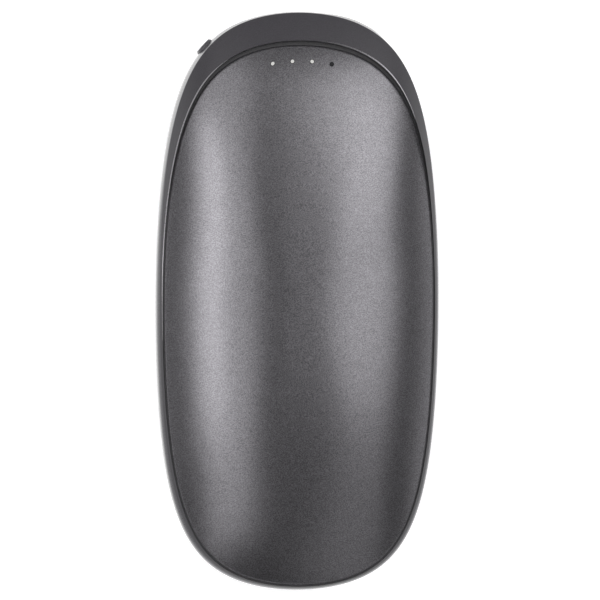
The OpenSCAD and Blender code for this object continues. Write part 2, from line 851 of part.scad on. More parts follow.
// Main board: the frame's inner outline at the port end, cut square at the cell end
module main_board() {
    color([0.1, 0.36, 0.2]) at_mid() difference() {
        translate([0, 0, board_low]) linear_extrude(board_t) intersection() {
            polygon([for (i = [0:loft_n - 1]) plan(board_edge, turn(i))]);
            translate([-board_half_w, board_end_y]) square([2 * board_half_w, half_l]);
        }
        translate([button_at[0], button_at[1], board_low - over]) rotate([0, 0, button_turn]) {
            translate([flange_back - button_travel - board_gap, -flange_w, 0]) {
                cube([frame_wall, 2 * flange_w, board_t + 2 * over]);
            }
        }
        for (side = [-1, 1]) {
            translate([side * board_hole_x, board_end_y + board_hole_in, board_low - over]) {
                cylinder(board_t + 2 * over, d = screw_hole_d + fit, $fn = round_n);
            }
        }
    }
}

// Large port: folded shell with spring fingers cut in its top, tongue on a base, and four contacts
module output_shell() {
    inner_w = output_w - 2 * shell_t;
    inner_h = output_h - 2 * shell_t;
    color([0.8, 0.8, 0.82]) at_mid() difference() {
        port_prism(output_x, output_y, 0, output_w, output_h, port_round, output_l);
        port_prism(
            output_x, output_y + over, 0,
            inner_w, inner_h, port_round - shell_t + fit, output_l - shell_t + over
        );
        for (side = [-1, 1]) {
            translate([output_x + side * finger_x, output_y - finger_in - finger_l / 2, output_h / 2]) {
                finger_slot();
            }
        }
    }
}
// Outline of a spring finger, cut through on three sides
module finger_slot() {
    difference() {
        cube([finger_w, finger_l, 3 * shell_t], center = true);
        translate([0, shell_t, 0]) cube([finger_w - 2 * shell_t, finger_l, 4 * shell_t], center = true);
    }
}
module output_tongue() {
    base_h = output_h - 2 * shell_t - 2 * fit;
    base_w = output_w - 2 * shell_t - 2 * fit;
    tongue_l = output_y - output_tongue_back - output_base_y;
    color([0.92, 0.92, 0.9]) at_mid() {
        translate([output_x - output_tongue_w / 2, output_base_y - fit, output_tongue_low]) {
            cube([output_tongue_w, tongue_l + fit, output_tongue_t]);
        }
        translate([output_x, output_base_y, 0]) rotate([90, 0, 0]) {
            linear_extrude(output_base_l) round_rect(base_w, base_h, port_round - shell_t + fit);
        }
    }
}
module output_contacts() {
    contact_l = output_y - output_tongue_back - output_contact_in - output_base_y;
    low = output_tongue_low - output_contact_t;
    color([0.85, 0.68, 0.25]) at_mid() for (x = output_contact_places) {
        translate([output_x + x - output_contact_w / 2, output_base_y, low]) {
            cube([output_contact_w, contact_l, output_contact_t]);
        }
    }
}

// Small port: seamless oval shell, thin tongue, and two rows of contacts
module charge_shell() {
    inner_h = charge_h - 2 * shell_t;
    color([0.8, 0.8, 0.82]) at_mid() difference() {
        port_prism(charge_x, charge_y, charge_z, charge_w, charge_h, charge_h / 2 - fit, charge_l);
        port_prism(
            charge_x, charge_y + over, charge_z,
            charge_w - 2 * shell_t, inner_h, inner_h / 2 - fit, charge_l - shell_t + over
        );
    }
}
module charge_tongue() {
    base_h = charge_h - 2 * shell_t - fit;
    base_w = charge_w - 2 * shell_t - fit;
    tongue_l = charge_y - charge_tongue_back - charge_base_y;
    color([0.12, 0.12, 0.13]) at_mid() {
        translate([charge_x - charge_tongue_w / 2, charge_base_y - fit, charge_z - charge_tongue_t / 2]) {
            cube([charge_tongue_w, tongue_l + fit, charge_tongue_t]);
        }
        translate([charge_x, charge_base_y, charge_z]) rotate([90, 0, 0]) {
            linear_extrude(charge_base_l) round_rect(base_w, base_h, base_h / 2 - fit);
        }
    }
}
module charge_contacts() {
    contact_l = charge_y - charge_tongue_back - charge_contact_in - charge_base_y;
    color([0.85, 0.68, 0.25]) at_mid() for (i = [0:charge_contact_count - 1], side = [-1, 1]) {
        translate([
            charge_x + (i - (charge_contact_count - 1) / 2) * charge_contact_pitch,
            charge_base_y + contact_l / 2,
            charge_z + side * (charge_tongue_t + charge_contact_t) / 2
        ]) cube([charge_contact_w, contact_l, charge_contact_t], center = true);
    }
}

// Power button: cap with a chamfered face, flange behind the wall, and a nub on the switch
module power_button() {
    color([0.14, 0.14, 0.15]) at_button() {
        upright_slot(button_w, button_h, -seat_depth - seat_gap - fit, button_proud - button_edge);
        upright_slot(button_w - 2 * button_edge, button_h - 2 * button_edge, 0, button_proud);
        translate([flange_back + flange_t / 2, 0, 0]) cube([flange_t, flange_w, flange_h], center = true);
        translate([flange_back - nub_l, 0, 0]) rotate([0, 90, 0]) {
            cylinder(nub_l + fit, d = nub_d, $fn = round_n);
        }
    }
}

// Side-acting switch on the board, and its plunger
module switch_body() {
    color([0.2, 0.2, 0.21]) at_button() difference() {
        translate([switch_front - switch_l, -switch_w / 2, board_top]) cube([switch_l, switch_w, switch_h]);
        translate([switch_front - plunger_in - button_travel - fit, 0, 0]) rotate([0, 90, 0]) {
            cylinder(switch_l, d = plunger_d + 2 * switch_fit, $fn = round_n);
        }
    }
}
module switch_plunger() {
    color([0.85, 0.84, 0.8]) at_button() {
        translate([switch_front - plunger_in, 0, 0]) rotate([0, 90, 0]) {
            cylinder(plunger_in + plunger_out, d = plunger_d, $fn = round_n);
        }
    }
}

// Chips that stand on the main board
module controller_chip() {
    color([0.08, 0.08, 0.09]) at_mid() {
        translate([chip_at[0] - chip_w / 2, chip_at[1] - chip_w / 2, board_top]) {
            cube([chip_w, chip_w, chip_t]);
        }
    }
}
module power_inductor() {
    color([0.3, 0.3, 0.32]) at_mid() translate([inductor_at[0], inductor_at[1], board_top]) {
        for (z = [0, inductor_t - inductor_cap_t]) {
            translate([-inductor_w / 2, -inductor_w / 2, z]) cube([inductor_w, inductor_w, inductor_cap_t]);
        }
        cylinder(inductor_t, d = inductor_core_d, $fn = round_n);
    }
}
module capacitors() {
    left = capacitor_at[0] - capacitor_size[0] / 2;
    color([0.72, 0.6, 0.42]) at_mid() for (i = [0:capacitor_count - 1]) {
        translate([left, capacitor_at[1] + i * capacitor_pitch, board_top]) cube(capacitor_size);
    }
}

// Indicator board above the ports, its header, lamps and light guide
module indicator_board() {
    color([0.1, 0.36, 0.2]) at_mid() {
        translate([-tab_half_w, tab_front_y - tab_board_l, tab_low]) {
            cube([2 * tab_half_w, tab_board_l, tab_board_t]);
        }
    }
}
module board_link() {
    color([0.12, 0.12, 0.12]) at_mid() for (i = [0:link_count - 1]) {
        y = link_y + (i - (link_count - 1) / 2) * link_pitch;
        translate([link_x - link_block_w / 2, y - link_pitch / 2, board_top]) {
            cube([link_block_w, link_pitch, link_block_h]);
        }
        translate([link_x - link_pin_w / 2, y - link_pin_w / 2, board_top]) {
            cube([link_pin_w, link_pin_w, tab_low - board_top]);
        }
    }
}
module status_lamps() {
    color([0.95, 0.95, 0.9]) at_mid() for (i = [0:lamp_count - 1]) {
        translate([lamp_x(i) - lamp_size[0] / 2, lamp_y(i) - lamp_size[1] / 2, tab_top]) cube(lamp_size);
    }
}
module light_guide() {
    low = tab_top + lamp_size[2] + guide_over_lamp;
    edge_y = lamp_y(0) - guide_bar_w / 2;
    color([0.93, 0.94, 0.95, 0.7]) at_mid() {
        translate([-tab_half_w, edge_y, low]) cube([2 * tab_half_w, guide_bar_w, guide_bar_t]);
        for (foot_x = [-tab_half_w, tab_half_w - guide_foot]) {
            translate([foot_x, edge_y, tab_top]) {
                cube([guide_foot, guide_bar_w, low - tab_top + guide_bar_t]);
            }
        }
        for (i = [0:lamp_count - 1]) {
            skin = crown_at(lamp_x(i), lamp_y(i));
            translate([lamp_x(i), lamp_y(i), low]) {
                cylinder(skin - low - lamp_recess, d = lamp_hole_d - 2 * guide_fit, $fn = round_n);
                cylinder(skin - low - 2 * panel_t - heater_gap, d = guide_post_d, $fn = round_n);
            }
        }
    }
}

// Flat tail from the inner face of a heater, folded down to its socket on the board
module heater_tail(foot_z) {
    edge_x = tail_x - tail_w / 2;
    top_z = crown_at(edge_x, tail_from_y) - film_depth - tail_gap;
    fold_z = crown_at(edge_x, socket_y) - film_depth - tail_gap;
    translate([tail_x - tail_w / 2, 0, 0]) rotate([90, 0, 90]) linear_extrude(tail_w) polygon([
        [tail_from_y, top_z - tail_t],
        [socket_y - tail_t, fold_z - tail_t],
        [socket_y - tail_t, foot_z],
        [socket_y, foot_z],
        [socket_y, fold_z],
        [tail_from_y, top_z]
    ]);
}
module front_heater_tail() {
    color([0.72, 0.42, 0.12]) at_mid() heater_tail(board_top + socket_size[2]);
}
module back_heater_tail() {
    color([0.72, 0.42, 0.12]) at_back() heater_tail(-board_low + socket_size[2]);
}
module tail_sockets() {
    left = tail_x - socket_size[0] / 2;
    near = socket_y - tail_t / 2 - socket_size[1] / 2;
    color([0.9, 0.88, 0.82]) at_mid() for (z = [board_top, board_low - socket_size[2]]) {
        translate([left, near, z]) cube(socket_size);
    }
}

// Bead sensors against each heater film
module thermal_sensors() {
    color([0.1, 0.1, 0.1]) at_mid() both_faces() {
        translate([0, sensor_y, crown_at(0, sensor_y) - film_depth - sensor_gap - sensor_d / 2]) {
            sphere(d = sensor_d, $fn = round_n);
        }
    }
}

frame();
front_panel();
back_panel();
front_gasket();
back_gasket();
front_heater();
back_heater();
front_insulation();
back_insulation();
cell_left();
cell_right();
cell_cradle();
cradle_screws();
positive_strip();
negative_strip();
positive_lead();
negative_lead();
main_board();
board_screws();
output_shell();
output_tongue();
output_contacts();
charge_shell();
charge_tongue();
charge_contacts();
switch_body();
switch_plunger();
power_button();
controller_chip();
power_inductor();
capacitors();
indicator_board();
board_link();
status_lamps();
light_guide();
front_heater_tail();
back_heater_tail();
tail_sockets();
thermal_sensors();
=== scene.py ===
import json
from typing import NamedTuple

import bpy
import numpy as np
from bpy.props import FloatProperty, FloatVectorProperty, IntProperty, PointerProperty
from mathutils import Matrix, Vector


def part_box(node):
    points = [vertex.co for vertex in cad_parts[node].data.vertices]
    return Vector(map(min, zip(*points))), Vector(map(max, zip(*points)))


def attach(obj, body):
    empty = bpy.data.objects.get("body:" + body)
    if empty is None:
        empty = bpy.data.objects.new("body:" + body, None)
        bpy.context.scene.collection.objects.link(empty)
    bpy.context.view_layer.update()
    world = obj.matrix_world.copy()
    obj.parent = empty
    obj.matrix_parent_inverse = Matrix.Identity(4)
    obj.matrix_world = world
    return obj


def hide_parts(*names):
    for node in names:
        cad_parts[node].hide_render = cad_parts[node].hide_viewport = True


# Looks of a rechargeable hand warmer: smooth skins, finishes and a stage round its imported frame.
# The body's forms are surfaces of two parameters: the angle t round the body, and a step across it.

bl_info = {
    "name": "Hand Warmer Dressing",
    "version": (1, 0, 0),
    "blender": (4, 5, 0),
    "location": "View3D > Sidebar > Hand Warmer",
    "description": "Dresses the packed frame of a rechargeable hand warmer",
    "category": "Object",
}

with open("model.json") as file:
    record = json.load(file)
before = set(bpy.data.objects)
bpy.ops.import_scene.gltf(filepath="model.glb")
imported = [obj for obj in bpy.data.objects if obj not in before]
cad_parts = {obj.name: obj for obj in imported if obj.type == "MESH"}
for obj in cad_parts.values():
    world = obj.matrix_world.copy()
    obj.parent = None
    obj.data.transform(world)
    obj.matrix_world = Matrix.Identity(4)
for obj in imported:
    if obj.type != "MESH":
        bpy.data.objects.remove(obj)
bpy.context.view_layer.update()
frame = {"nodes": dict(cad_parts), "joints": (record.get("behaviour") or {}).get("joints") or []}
FRAME_LOW, FRAME_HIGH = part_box("frame")
PANEL_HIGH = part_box("front_panel")[1]
MID_Z = (FRAME_LOW.z + FRAME_HIGH.z) / 2
OUTWARD = -Vector(frame["joints"][0]["axis"])
MM = 0.001


def mm(*values):
    """Sizes given in millimetres, as metres."""
    return tuple(value * MM for value in values)


# Outlines. Shares by which the shoulders swell: across, towards +Y and -Y, and then lengthwise
RIM_SHARES = ((0.204, 0.259), (0.229, 0.242))
OPENING_SHARES = ((0.157, 0.224), (0.233, 0.254))
RIM_BACK = 0.03 * MM  # how far the rim's port end stays back from the frame's box
RISE_START = 0.07  # Y where the collar starts to rise, as a share of the length

# Swelling at the upper right shoulder, and bright cut along the lip. Ways are in degrees clockwise
# from +Y: where each starts and is full, and where it starts to fall and ends.
SWELL = 0.36 * MM
SWELL_WAYS = (2.5, 11, 14.5, 20)
CUT_LEAST, CUT_MORE = mm(0.03, 0.2)
CUT_LEFT_WAYS = (-112, -50, -25, -16)
CUT_RIGHT_WAYS = (4, 8, 18, 34)
CUT_SLOPE = 0.44  # its depth, as a share of its width
CUT_SEEN = 0.036 * MM  # width from which it has its own finish

# Heights, insets and radii in pairs: along the sides, and at the port end
SEAT_STEP = mm(-1.9, -2.1)  # gasket's seat, from the lip's top
PANEL_STEP = mm(0.1, -1.1)  # panel's edge, from the lip's top
PANEL_ROUND = mm(0.35, 0.5)  # radius of the panel's edge
SHOULDER_H = mm(1.6, 2.4)  # where the wall starts to lean in
EDGE_IN = mm(0.26, 0.5)  # inset of the face's outer edge

# The wall: radii at the mid plane and the shoulder, and the shoulder's inset along the sides. Then
# the outer edge: its height along the sides, its radius at the port end, and how much more there
WAIST_R, SHOULDER_R, SHOULDER_IN = mm(1.2, 1.1, 0.06)
EDGE_H, EDGE_R, EDGE_R_MORE = mm(2.75, 0.07, 0.83)

# Power of the crown's fall: across, and how much more at the ends
CROWN_POWER, CROWN_POWER_MORE = 2.6, 0.8

# Inside of the frame: the gasket's ledge, the wall's top under it, and the lugs with screw holes
LEDGE_W, LEDGE_T, WALL_STEP = mm(1.9, 1.8, 2.1)
LUG_YS, LUG_XS = mm(20, -26), mm(20.8, 25.6)
LUG_HALF_L, LUG_H = mm(2.3, 2.2)
SCREW_X, SCREW_R, SCREW_ZS = 22.7 * MM, 1 * MM, mm(-2.4, 0.2)

# Windows in the end wall: X, height over the mid plane, width, height and corner radius
PORT_WINDOWS = (
    ("output_window", mm(-4.57, 0, 13.6, 6.1, 0.7)),
    ("charge_window", mm(8.3, -1.25, 9.34, 3.6, 1.7)),
)
PORT_BEVEL, PORT_IN, PORT_OUT = mm(0.18, 9.6, 2)

# Button. A loop has width, height and corner radius, and a hole also its start and end on the way
# out. The cap's profile has rise and inset, as shares of its edge's height and width.
BUTTON_HOLES = (mm(3.94, 6.74, 1.97, -4, 1), mm(5.8, 8.1, 0.1, -5.6, -2.6))
NUB, FLANGE = mm(2, 2, 1), mm(5.2, 7.5, 0.25)
NUB_START, FLANGE_START, FLANGE_END = mm(-4, -3.4, -2.65)
CAP_EDGE, CAP_DOME = mm(0.3, 0.05)
CAP_EDGE_H = 1.3 * CAP_EDGE
CAP_PROFILE = ((0, 0), (0.04, 0.01), (0.9, 0.86), (0.97, 0.95), (1, 1))

# Lamps, on a shallow arc under the collar. A hole's profile has widening and height over the skin.
# A post glows between the lit heights, out to the lit radii, and up to the border with the last.
LAMP_COUNT = 4
LAMP_ARC_R, LAMP_ARC_Y = mm(32.6, 48.45)
LAMP_HOLE = (mm(0, -4), mm(0, -0.06), mm(0.03, 0.03), mm(0.03, 1))
LIT_HEIGHTS = mm(20, 21)
LIT_RADII = mm(0.34, 0.4)
LIT_BORDER = 0.1 * MM

# Panels and gaskets
PANEL_FOOT = 0.3 * MM  # inner wall's foot, over the gasket's seat
FOAM_DOWN = mm(0.2, 0.16)  # foam's top, under the panel's edge
FOAM_FALL = mm(0.2, 0.15)  # from there down to the lip
FOAM_W, FOAM_T, FOAM_CLEAR = mm(1.8, 0.28, 0.02)
FOAM_LIP_R, FOAM_PANEL_R = mm(0.05, 0.02)

# Grid steps, and points of the rim that a place on it is interpolated between
CROWN_STEPS, LAND_STEPS, BEND_STEPS, INNER_STEPS = 56, 11, 8, 24
SCREW_STEPS, LAMP_STEPS, DOME_STEPS = 32, 48, 8
SAMPLES, FINE_SAMPLES = 721, 2881


def length(name, description, default):
    """A length property, in metres."""
    return FloatProperty(name=name, description=description, default=default, unit="LENGTH",
                         precision=5, min=0)


def level(name, description, default):
    """A property for the level of a light."""
    return FloatProperty(name=name, description=description, default=default, min=0)


def colour(name, description, default):
    """A colour property, red, green and blue in linear light."""
    return FloatVectorProperty(name=name, description=description, default=default,
                               subtype="COLOR", size=3, min=0, max=1)


class WarmerSizes(bpy.types.PropertyGroup):
    """Sizes of the skins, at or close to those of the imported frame"""
    body_w: length("Body width", "Width across the frame", 2 * FRAME_HIGH.x)
    body_l: length("Body length", "Length from end to end", -2 * FRAME_LOW.y)
    mid_z: length("Mid plane", "Height of the plane that both panels mirror in", MID_Z)
    crown_h: length("Crown height", "Height of a panel's crown above the mid plane",
                    PANEL_HIGH.z - MID_Z)
    panel_t: length("Panel thickness", "Wall of the metal panels", 0.9 * MM)
    frame_wall: length("Frame wall", "Thickness of the frame's side wall", 3 * MM)
    collar_w: length("Collar width", "Width of the collar's face at the port end", 6.35 * MM)
    collar_h: length("Collar height", "Height of the collar's inner edge", 8.4 * MM)
    collar_edge_h: length("Collar edge", "Height of the collar's outer edge", 6.0 * MM)
    band_side: length("Side band", "Width of the frame's face along the sides", 1.15 * MM)
    band_end: length("End band", "Width of the frame's face at the plain end", 0.9 * MM)
    lip_h: length("Lip height", "Height of the frame's lip along the sides", 4.1 * MM)
    gap_side: length("Side gap", "Shadow gap along the sides", 0.32 * MM)
    gap_top: length("Collar gap", "Shadow gap at the collar", 0.86 * MM)
    lamp_pitch: length("Lamp pitch", "Distance between charge lamps", 4 * MM)
    lamp_hole_d: length("Lamp hole", "Diameter of a lamp's hole", 0.98 * MM)
    button_w: length("Button width", "Width of the cap along the rim", 3.7 * MM)
    button_h: length("Button height", "Height of the cap across the rim", 6.5 * MM)
    button_proud: length("Button stand", "How far the cap stands out", 0.55 * MM)
    around: IntProperty(name="Steps around", description="Grid steps round the body",
                        default=512, min=64, max=720)


class WarmerFinishes(bpy.types.PropertyGroup):
    """Colours of the finishes and the level of the light"""
    metal: colour("Panel metal", "Anodised metal of the panels", (0.190, 0.185, 0.197))
    plastic: colour("Frame plastic", "Moulded plastic of the frame", (0.039, 0.036, 0.043))
    button: colour("Button plastic", "Moulded plastic of the button", (0.080, 0.078, 0.088))
    lip: colour("Cut lip", "Bright cut along the frame's lip", (0.44, 0.43, 0.45))
    foam: colour("Foam", "Foam of the gaskets", (0.070, 0.069, 0.072))
    glow: colour("Lamp glow", "Colour of a lit lamp", (1.0, 0.99, 0.96))
    floor: colour("Floor", "Colour of the floor", (0.8, 0.8, 0.8))
    lamp_level: level("Lamp level", "Strength of a lit lamp", 0.62)
    light_level: level("Light level", "Factor on every soft box", 1.0)
    sky_level: level("Sky", "Radiance overhead", 0.07)


# Outlines and heights

def fade(value, start, end):
    """Smooth step from 0 at start to 1 at end: c^2 * (3 - 2c), with c the part of the way."""
    c = np.clip((value - start) / (end - start), 0, 1)
    return c * c * (3 - 2 * c)


def window(way, ways):
    """A smooth step up over the first two ways, and one down over the last two: their product."""
    return fade(way, *ways[:2]) * (1 - fade(way, *ways[2:]))


class Outline(NamedTuple):
    """Swollen ellipse: half width, lengths to +Y and -Y, and shares that its shoulders swell by"""
    half_w: float
    up: float
    down: float
    side_shares: tuple
    end_shares: tuple

    def at(self, t, share=1.0):
        """X = share * w * cos t * (1 + a * sin^2 t) and Y = share * l * sin t * (1 + b * cos^2 t),
        with l, a and b of the half that t lies in."""
        s, c = np.sin(t), np.cos(t)
        high = s >= 0
        swell = np.where(high, *self.side_shares)
        stretch = np.where(high, *self.end_shares)
        x = share * self.half_w * c * (1 + swell * s * s)
        y = share * np.where(high, self.up, self.down) * s * (1 + stretch * c * c)
        return x, y

    def way(self, t):
        """Way out to the outline's points, in degrees clockwise from +Y: atan2(X, Y)."""
        return np.degrees(np.arctan2(*self.at(t)))

    def angle_to(self, x, y):
        """Angle t in the +Y half on the way out to a point: t = atan2(y / l / (1 + b * cos^2 t),
        x / w / (1 + a * sin^2 t)), taken twelve times from the last t."""
        t = np.arctan2(y, x)
        for _ in range(12):
            swell = 1 + self.side_shares[0] * np.sin(t) ** 2
            stretch = 1 + self.end_shares[0] * np.cos(t) ** 2
            t = np.arctan2(y / self.up / stretch, x / self.half_w / swell)
        return t

    def inset(self, d):
        """The outline with its width and lengths made less by a distance."""
        return self._replace(half_w=self.half_w - d, up=self.up - d, down=self.down - d)

    def inset_at(self, d, t):
        """Points moved in by a distance d that may change with the angle: P + (Q - P) * d / 1 mm,
        with Q on the outline that is inset by 1 mm."""
        d = np.broadcast_to(d, t.shape)
        x0, y0 = self.at(t)
        x1, y1 = self.inset(1 * MM).at(t)
        return x0 + (x1 - x0) * d / MM, y0 + (y1 - y0) * d / MM


class Form:
    """Outlines and heights of the body, in metres, about the mid plane"""

    def __init__(self, sizes):
        self.sizes = sizes
        half_w, half_l = sizes.body_w / 2, sizes.body_l / 2
        self.rim = Outline(half_w, half_l - RIM_BACK, half_l, *RIM_SHARES)
        self.lip = Outline(half_w - sizes.band_side, half_l - sizes.collar_w,
                           half_l - sizes.band_end, *OPENING_SHARES)
        self.panel = Outline(self.lip.half_w - sizes.gap_side, self.lip.up - sizes.gap_top,
                             self.lip.down - sizes.gap_side, *OPENING_SHARES)

    def rise(self, t):
        """Smooth step of the lip's Y, from 0 along the sides to 1 at the port end."""
        return fade(self.lip.at(t)[1], RISE_START * self.sizes.body_l, self.lip.up)

    def between(self, pair, t):
        """A value that goes from one along the sides to another at the port end:
        low + (high - low) * rise."""
        low, high = pair
        return low + (high - low) * self.rise(t)

    def lip_top(self, t, steps=(0.0, 0.0)):
        """Height of the lip's top, or of what lies a step over it, with one step along the sides
        and one at the port end."""
        return self.between((self.sizes.lip_h + steps[0], self.sizes.collar_h + steps[1]), t)

    def seat_top(self, t):
        """Height of the gasket's seat: the lip's top and its steps."""
        return self.lip_top(t, SEAT_STEP)

    def panel_edge(self, t):
        """Height of the panel's edge: the lip's top and its steps."""
        return self.lip_top(t, PANEL_STEP)

    def shoulder_swell(self, t):
        """How far the wall stands out at the upper right shoulder, by the way out to the rim."""
        return SWELL * window(self.rim.way(t), SWELL_WAYS)

    def lip_cut(self, t):
        """Width of the bright cut, by the way out to the lip: a least width, and more in a window
        on the left and one on the right."""
        way = self.lip.way(t)
        return CUT_LEAST + CUT_MORE * (window(way, CUT_LEFT_WAYS) + window(way, CUT_RIGHT_WAYS))

    def crown(self, t, share, depth=0.0):
        """Z = crown - depth - (crown - edge) * share ^ power, with power = a + b * sin^2 t."""
        drop = self.sizes.crown_h - self.panel_edge(t)
        return self.sizes.crown_h - depth - drop * share ** self.crown_power(t)

    @staticmethod
    def crown_power(t):
        """Power of the crown's fall, which rises towards both ends: a + b * sin^2 t."""
        return CROWN_POWER + CROWN_POWER_MORE * np.sin(t) ** 2

    def rim_y(self, x):
        """Y of the rim's port end at X, by interpolation along the outline."""
        t = np.linspace(0, np.pi, SAMPLES)
        xs, ys = self.rim.at(t)
        return np.interp(x, xs[::-1], ys[::-1])

    def button_place(self):
        """Point of the rim's upper left quarter whose normal is the button's own way out, by
        interpolation of the normal (-dX, dY) along the outline, and the angle of that way."""
        t = np.linspace(np.pi / 2, np.pi, FINE_SAMPLES)
        x, y = self.rim.at(t)
        normal = np.arctan2(-np.gradient(x), np.gradient(y))
        turn = np.arctan2(OUTWARD.y, OUTWARD.x)
        x, y = self.rim.at(np.interp(turn, normal, t))
        return Vector((float(x), float(y), self.sizes.mid_z)), turn


def angles(n):
    """The n angles of a loop: k * 2 pi / n."""
    return np.arange(n) * 2 * np.pi / n


def points(x, y, z):
    """Rings of points from arrays that broadcast to one shape."""
    return np.stack(np.broadcast_arrays(x, y, z), axis=-1).astype(float)


# Meshes from grids

def grid_faces(rows, columns, around=False):
    """Quads of a grid of rows x columns points, with each row a closed loop. With around the last
    row joins the first."""
    j, i = np.meshgrid(np.arange(rows if around else rows - 1), np.arange(columns), indexing="ij")
    k, low, high = (i + 1) % columns, j * columns, (j + 1) % rows * columns
    return np.stack([low + i, low + k, high + k, high + i], axis=-1).reshape(-1, 4)


def volume(verts, faces):
    """Signed volume of a closed surface: a . (b x c) / 6 over the fan of triangles of each face."""
    total = 0.0
    for k in range(1, faces.shape[1] - 1):
        a, b, c = verts[faces[:, 0]], verts[faces[:, k]], verts[faces[:, k + 1]]
        total += np.einsum("ij,ij->i", a, np.cross(b, c)).sum() / 6
    return total


def make_skin(name, rings, poles=()):
    """A closed surface from rings (rows x points x 3): a tube bent into a loop, or one closed by a
    fan to each pole. Faces are turned outwards by the sign of the volume."""
    rows, columns = rings.shape[:2]
    verts = rings.reshape(-1, 3)
    quads = grid_faces(rows, columns, around=len(poles) == 0)
    fans = np.zeros((0, 3), int)
    if len(poles):
        i = np.arange(columns)
        k, end = (i + 1) % columns, (rows - 1) * columns
        verts = np.vstack([verts, *poles])
        bottom, top = np.full(columns, len(verts) - 2), np.full(columns, len(verts) - 1)
        fans = np.vstack([np.stack([bottom, k, i], -1), np.stack([top, end + i, end + k], -1)])
    if volume(verts, quads) + volume(verts, fans) < 0:
        quads, fans = quads[:, ::-1], fans[:, ::-1]
    corners = np.concatenate([quads.ravel(), fans.ravel()])
    counts = np.concatenate([np.full(len(quads), 4), np.full(len(fans), 3)])
    starts = np.concatenate([[0], np.cumsum(counts)[:-1]])
    mesh = bpy.data.meshes.new(name)
    mesh.vertices.add(len(verts))
    mesh.vertices.foreach_set("co", verts.astype(np.float32).ravel())
    mesh.loops.add(len(corners))
    mesh.loops.foreach_set("vertex_index", corners.astype(np.int32))
    mesh.polygons.add(len(counts))
    mesh.polygons.foreach_set("loop_start", starts.astype(np.int32))
    mesh.update(calc_edges=True)
    mesh.validate()
    piece = bpy.data.objects.new(name, mesh)
    bpy.context.scene.collection.objects.link(piece)
    return piece


def capped_skin(name, rings):
    """A skin with flat ends, whose poles are the means of the first and the last ring."""
    return make_skin(name, rings, (rings[0].mean(0), rings[-1].mean(0)))


def bent(start, corner, end, u):
    """Quadratic curve that turns a corner: (1-u)^2 start + 2u(1-u) corner + u^2 end."""
    return (1 - u) ** 2 * start + 2 * u * (1 - u) * corner + u ** 2 * end


def rounded(corners, radii, steps=5, most=0.48):
    """A section's corners (k x n x 3), each turned into a quadratic curve that starts and ends its
    radius away, or at most a share of the way to the next corner. Radius 0 keeps the corner. Gives
    the rows, and the number of each corner's first row."""
    u = np.linspace(0, 1, steps)[:, None, None]
    rows, starts = [], []
    for k, radius in enumerate(radii):
        p = corners[k]
        starts.append(sum(map(len, rows)))
        if np.max(radius) == 0:
            rows.append(p[None])
            continue
        ends = []
        for q in (corners[k - 1], corners[(k + 1) % len(corners)]):
            way = q - p
            span = np.linalg.norm(way, axis=-1)
            ends.append(p + way * (np.minimum(radius, most * span) / span)[:, None])
        rows.append(bent(ends[0], p, ends[1], u))
    return np.concatenate(rows), starts


def section(rows, t):
    """Corner points and radii of rows that name an outline, an inset, a height and a radius."""
    corners = [points(*outline.inset_at(d, t), np.broadcast_to(z, t.shape))
               for outline, d, z, r in rows]
    return np.array(corners), [np.broadcast_to(r, t.shape) for outline, d, z, r in rows]


def rounded_rectangle(w, h, r, steps=12):
    """Loop of a rounded rectangle: a corner's centre plus r * (cos a, sin a) over its quarter."""
    quarters = np.arange(4)
    a = (quarters[:, None] + np.linspace(0, 1, steps)[None]) * np.pi / 2
    across = np.where((quarters == 0) | (quarters == 3), 1, -1)[:, None] * (w / 2 - r)
    upward = np.where(quarters < 2, 1, -1)[:, None] * (h / 2 - r)
    return (across + r * np.cos(a)).ravel(), (upward + r * np.sin(a)).ravel()


def box_skin(name, low, high):
    """A plain block to join on: four corners carried from its lowest height to its highest."""
    (x0, y0, z0), (x1, y1, z1) = low, high
    x, y = np.array([x0, x1, x1, x0]), np.array([y0, y0, y1, y1])
    return capped_skin(name, points(x[None], y[None], np.array([z0, z1])[:, None]))


def number_finishes(piece, which):
    """Numbers the finish of the quads, row by row and angle by angle. Fans keep the first."""
    for _ in range(which.max() + 1):
        piece.data.materials.append(None)
    numbers = np.zeros(len(piece.data.polygons), np.int32)
    numbers[:which.size] = which.ravel()
    piece.data.polygons.foreach_set("material_index", numbers)


def carve(piece, tools, operation):
    """Joins tools to a piece or cuts them from it, and removes them."""
    for tool in tools:
        step = piece.modifiers.new("carve", "BOOLEAN")
        step.operation, step.object, step.solver = operation, tool, "MANIFOLD"
    bpy.context.view_layer.update()
    shaped = piece.evaluated_get(bpy.context.evaluated_depsgraph_get())
    mesh = bpy.data.meshes.new_from_object(shaped)
    if len(mesh.polygons) == 0:
        raise RuntimeError(f"{piece.name}: nothing was left by {operation}")
    piece.modifiers.clear()
    old, piece.data = piece.data, mesh
    bpy.data.meshes.remove(old)
    for tool in tools:
        mesh = tool.data
        bpy.data.objects.remove(tool)
        bpy.data.meshes.remove(mesh)


def dress(piece, node, slot, *materials, body="housing", sharp=30.0):
    """Gives a piece its finishes and its shading, hides the imported node that it stands for, and
    hangs it on the body it rides on.
    """
    mesh = piece.data
    which = np.empty(len(mesh.polygons), np.int32)
    mesh.polygons.foreach_get("material_index", which)
    mesh.materials.clear()
    for material in materials:
        mesh.materials.append(material)
    mesh.polygons.foreach_set("material_index", np.minimum(which, len(materials) - 1))
    mesh.shade_smooth()
    mesh.set_sharp_from_angle(angle=np.radians(sharp))
    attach(piece, body)
    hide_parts(node)


# Frame

# Corners of the section by number: where the bright cut starts, outside in front and inside at the
# back, and the outer edge of the back's face
LIP_CORNER, BACK_LIP_CORNER, BACK_EDGE_CORNER = 3, -4, -2


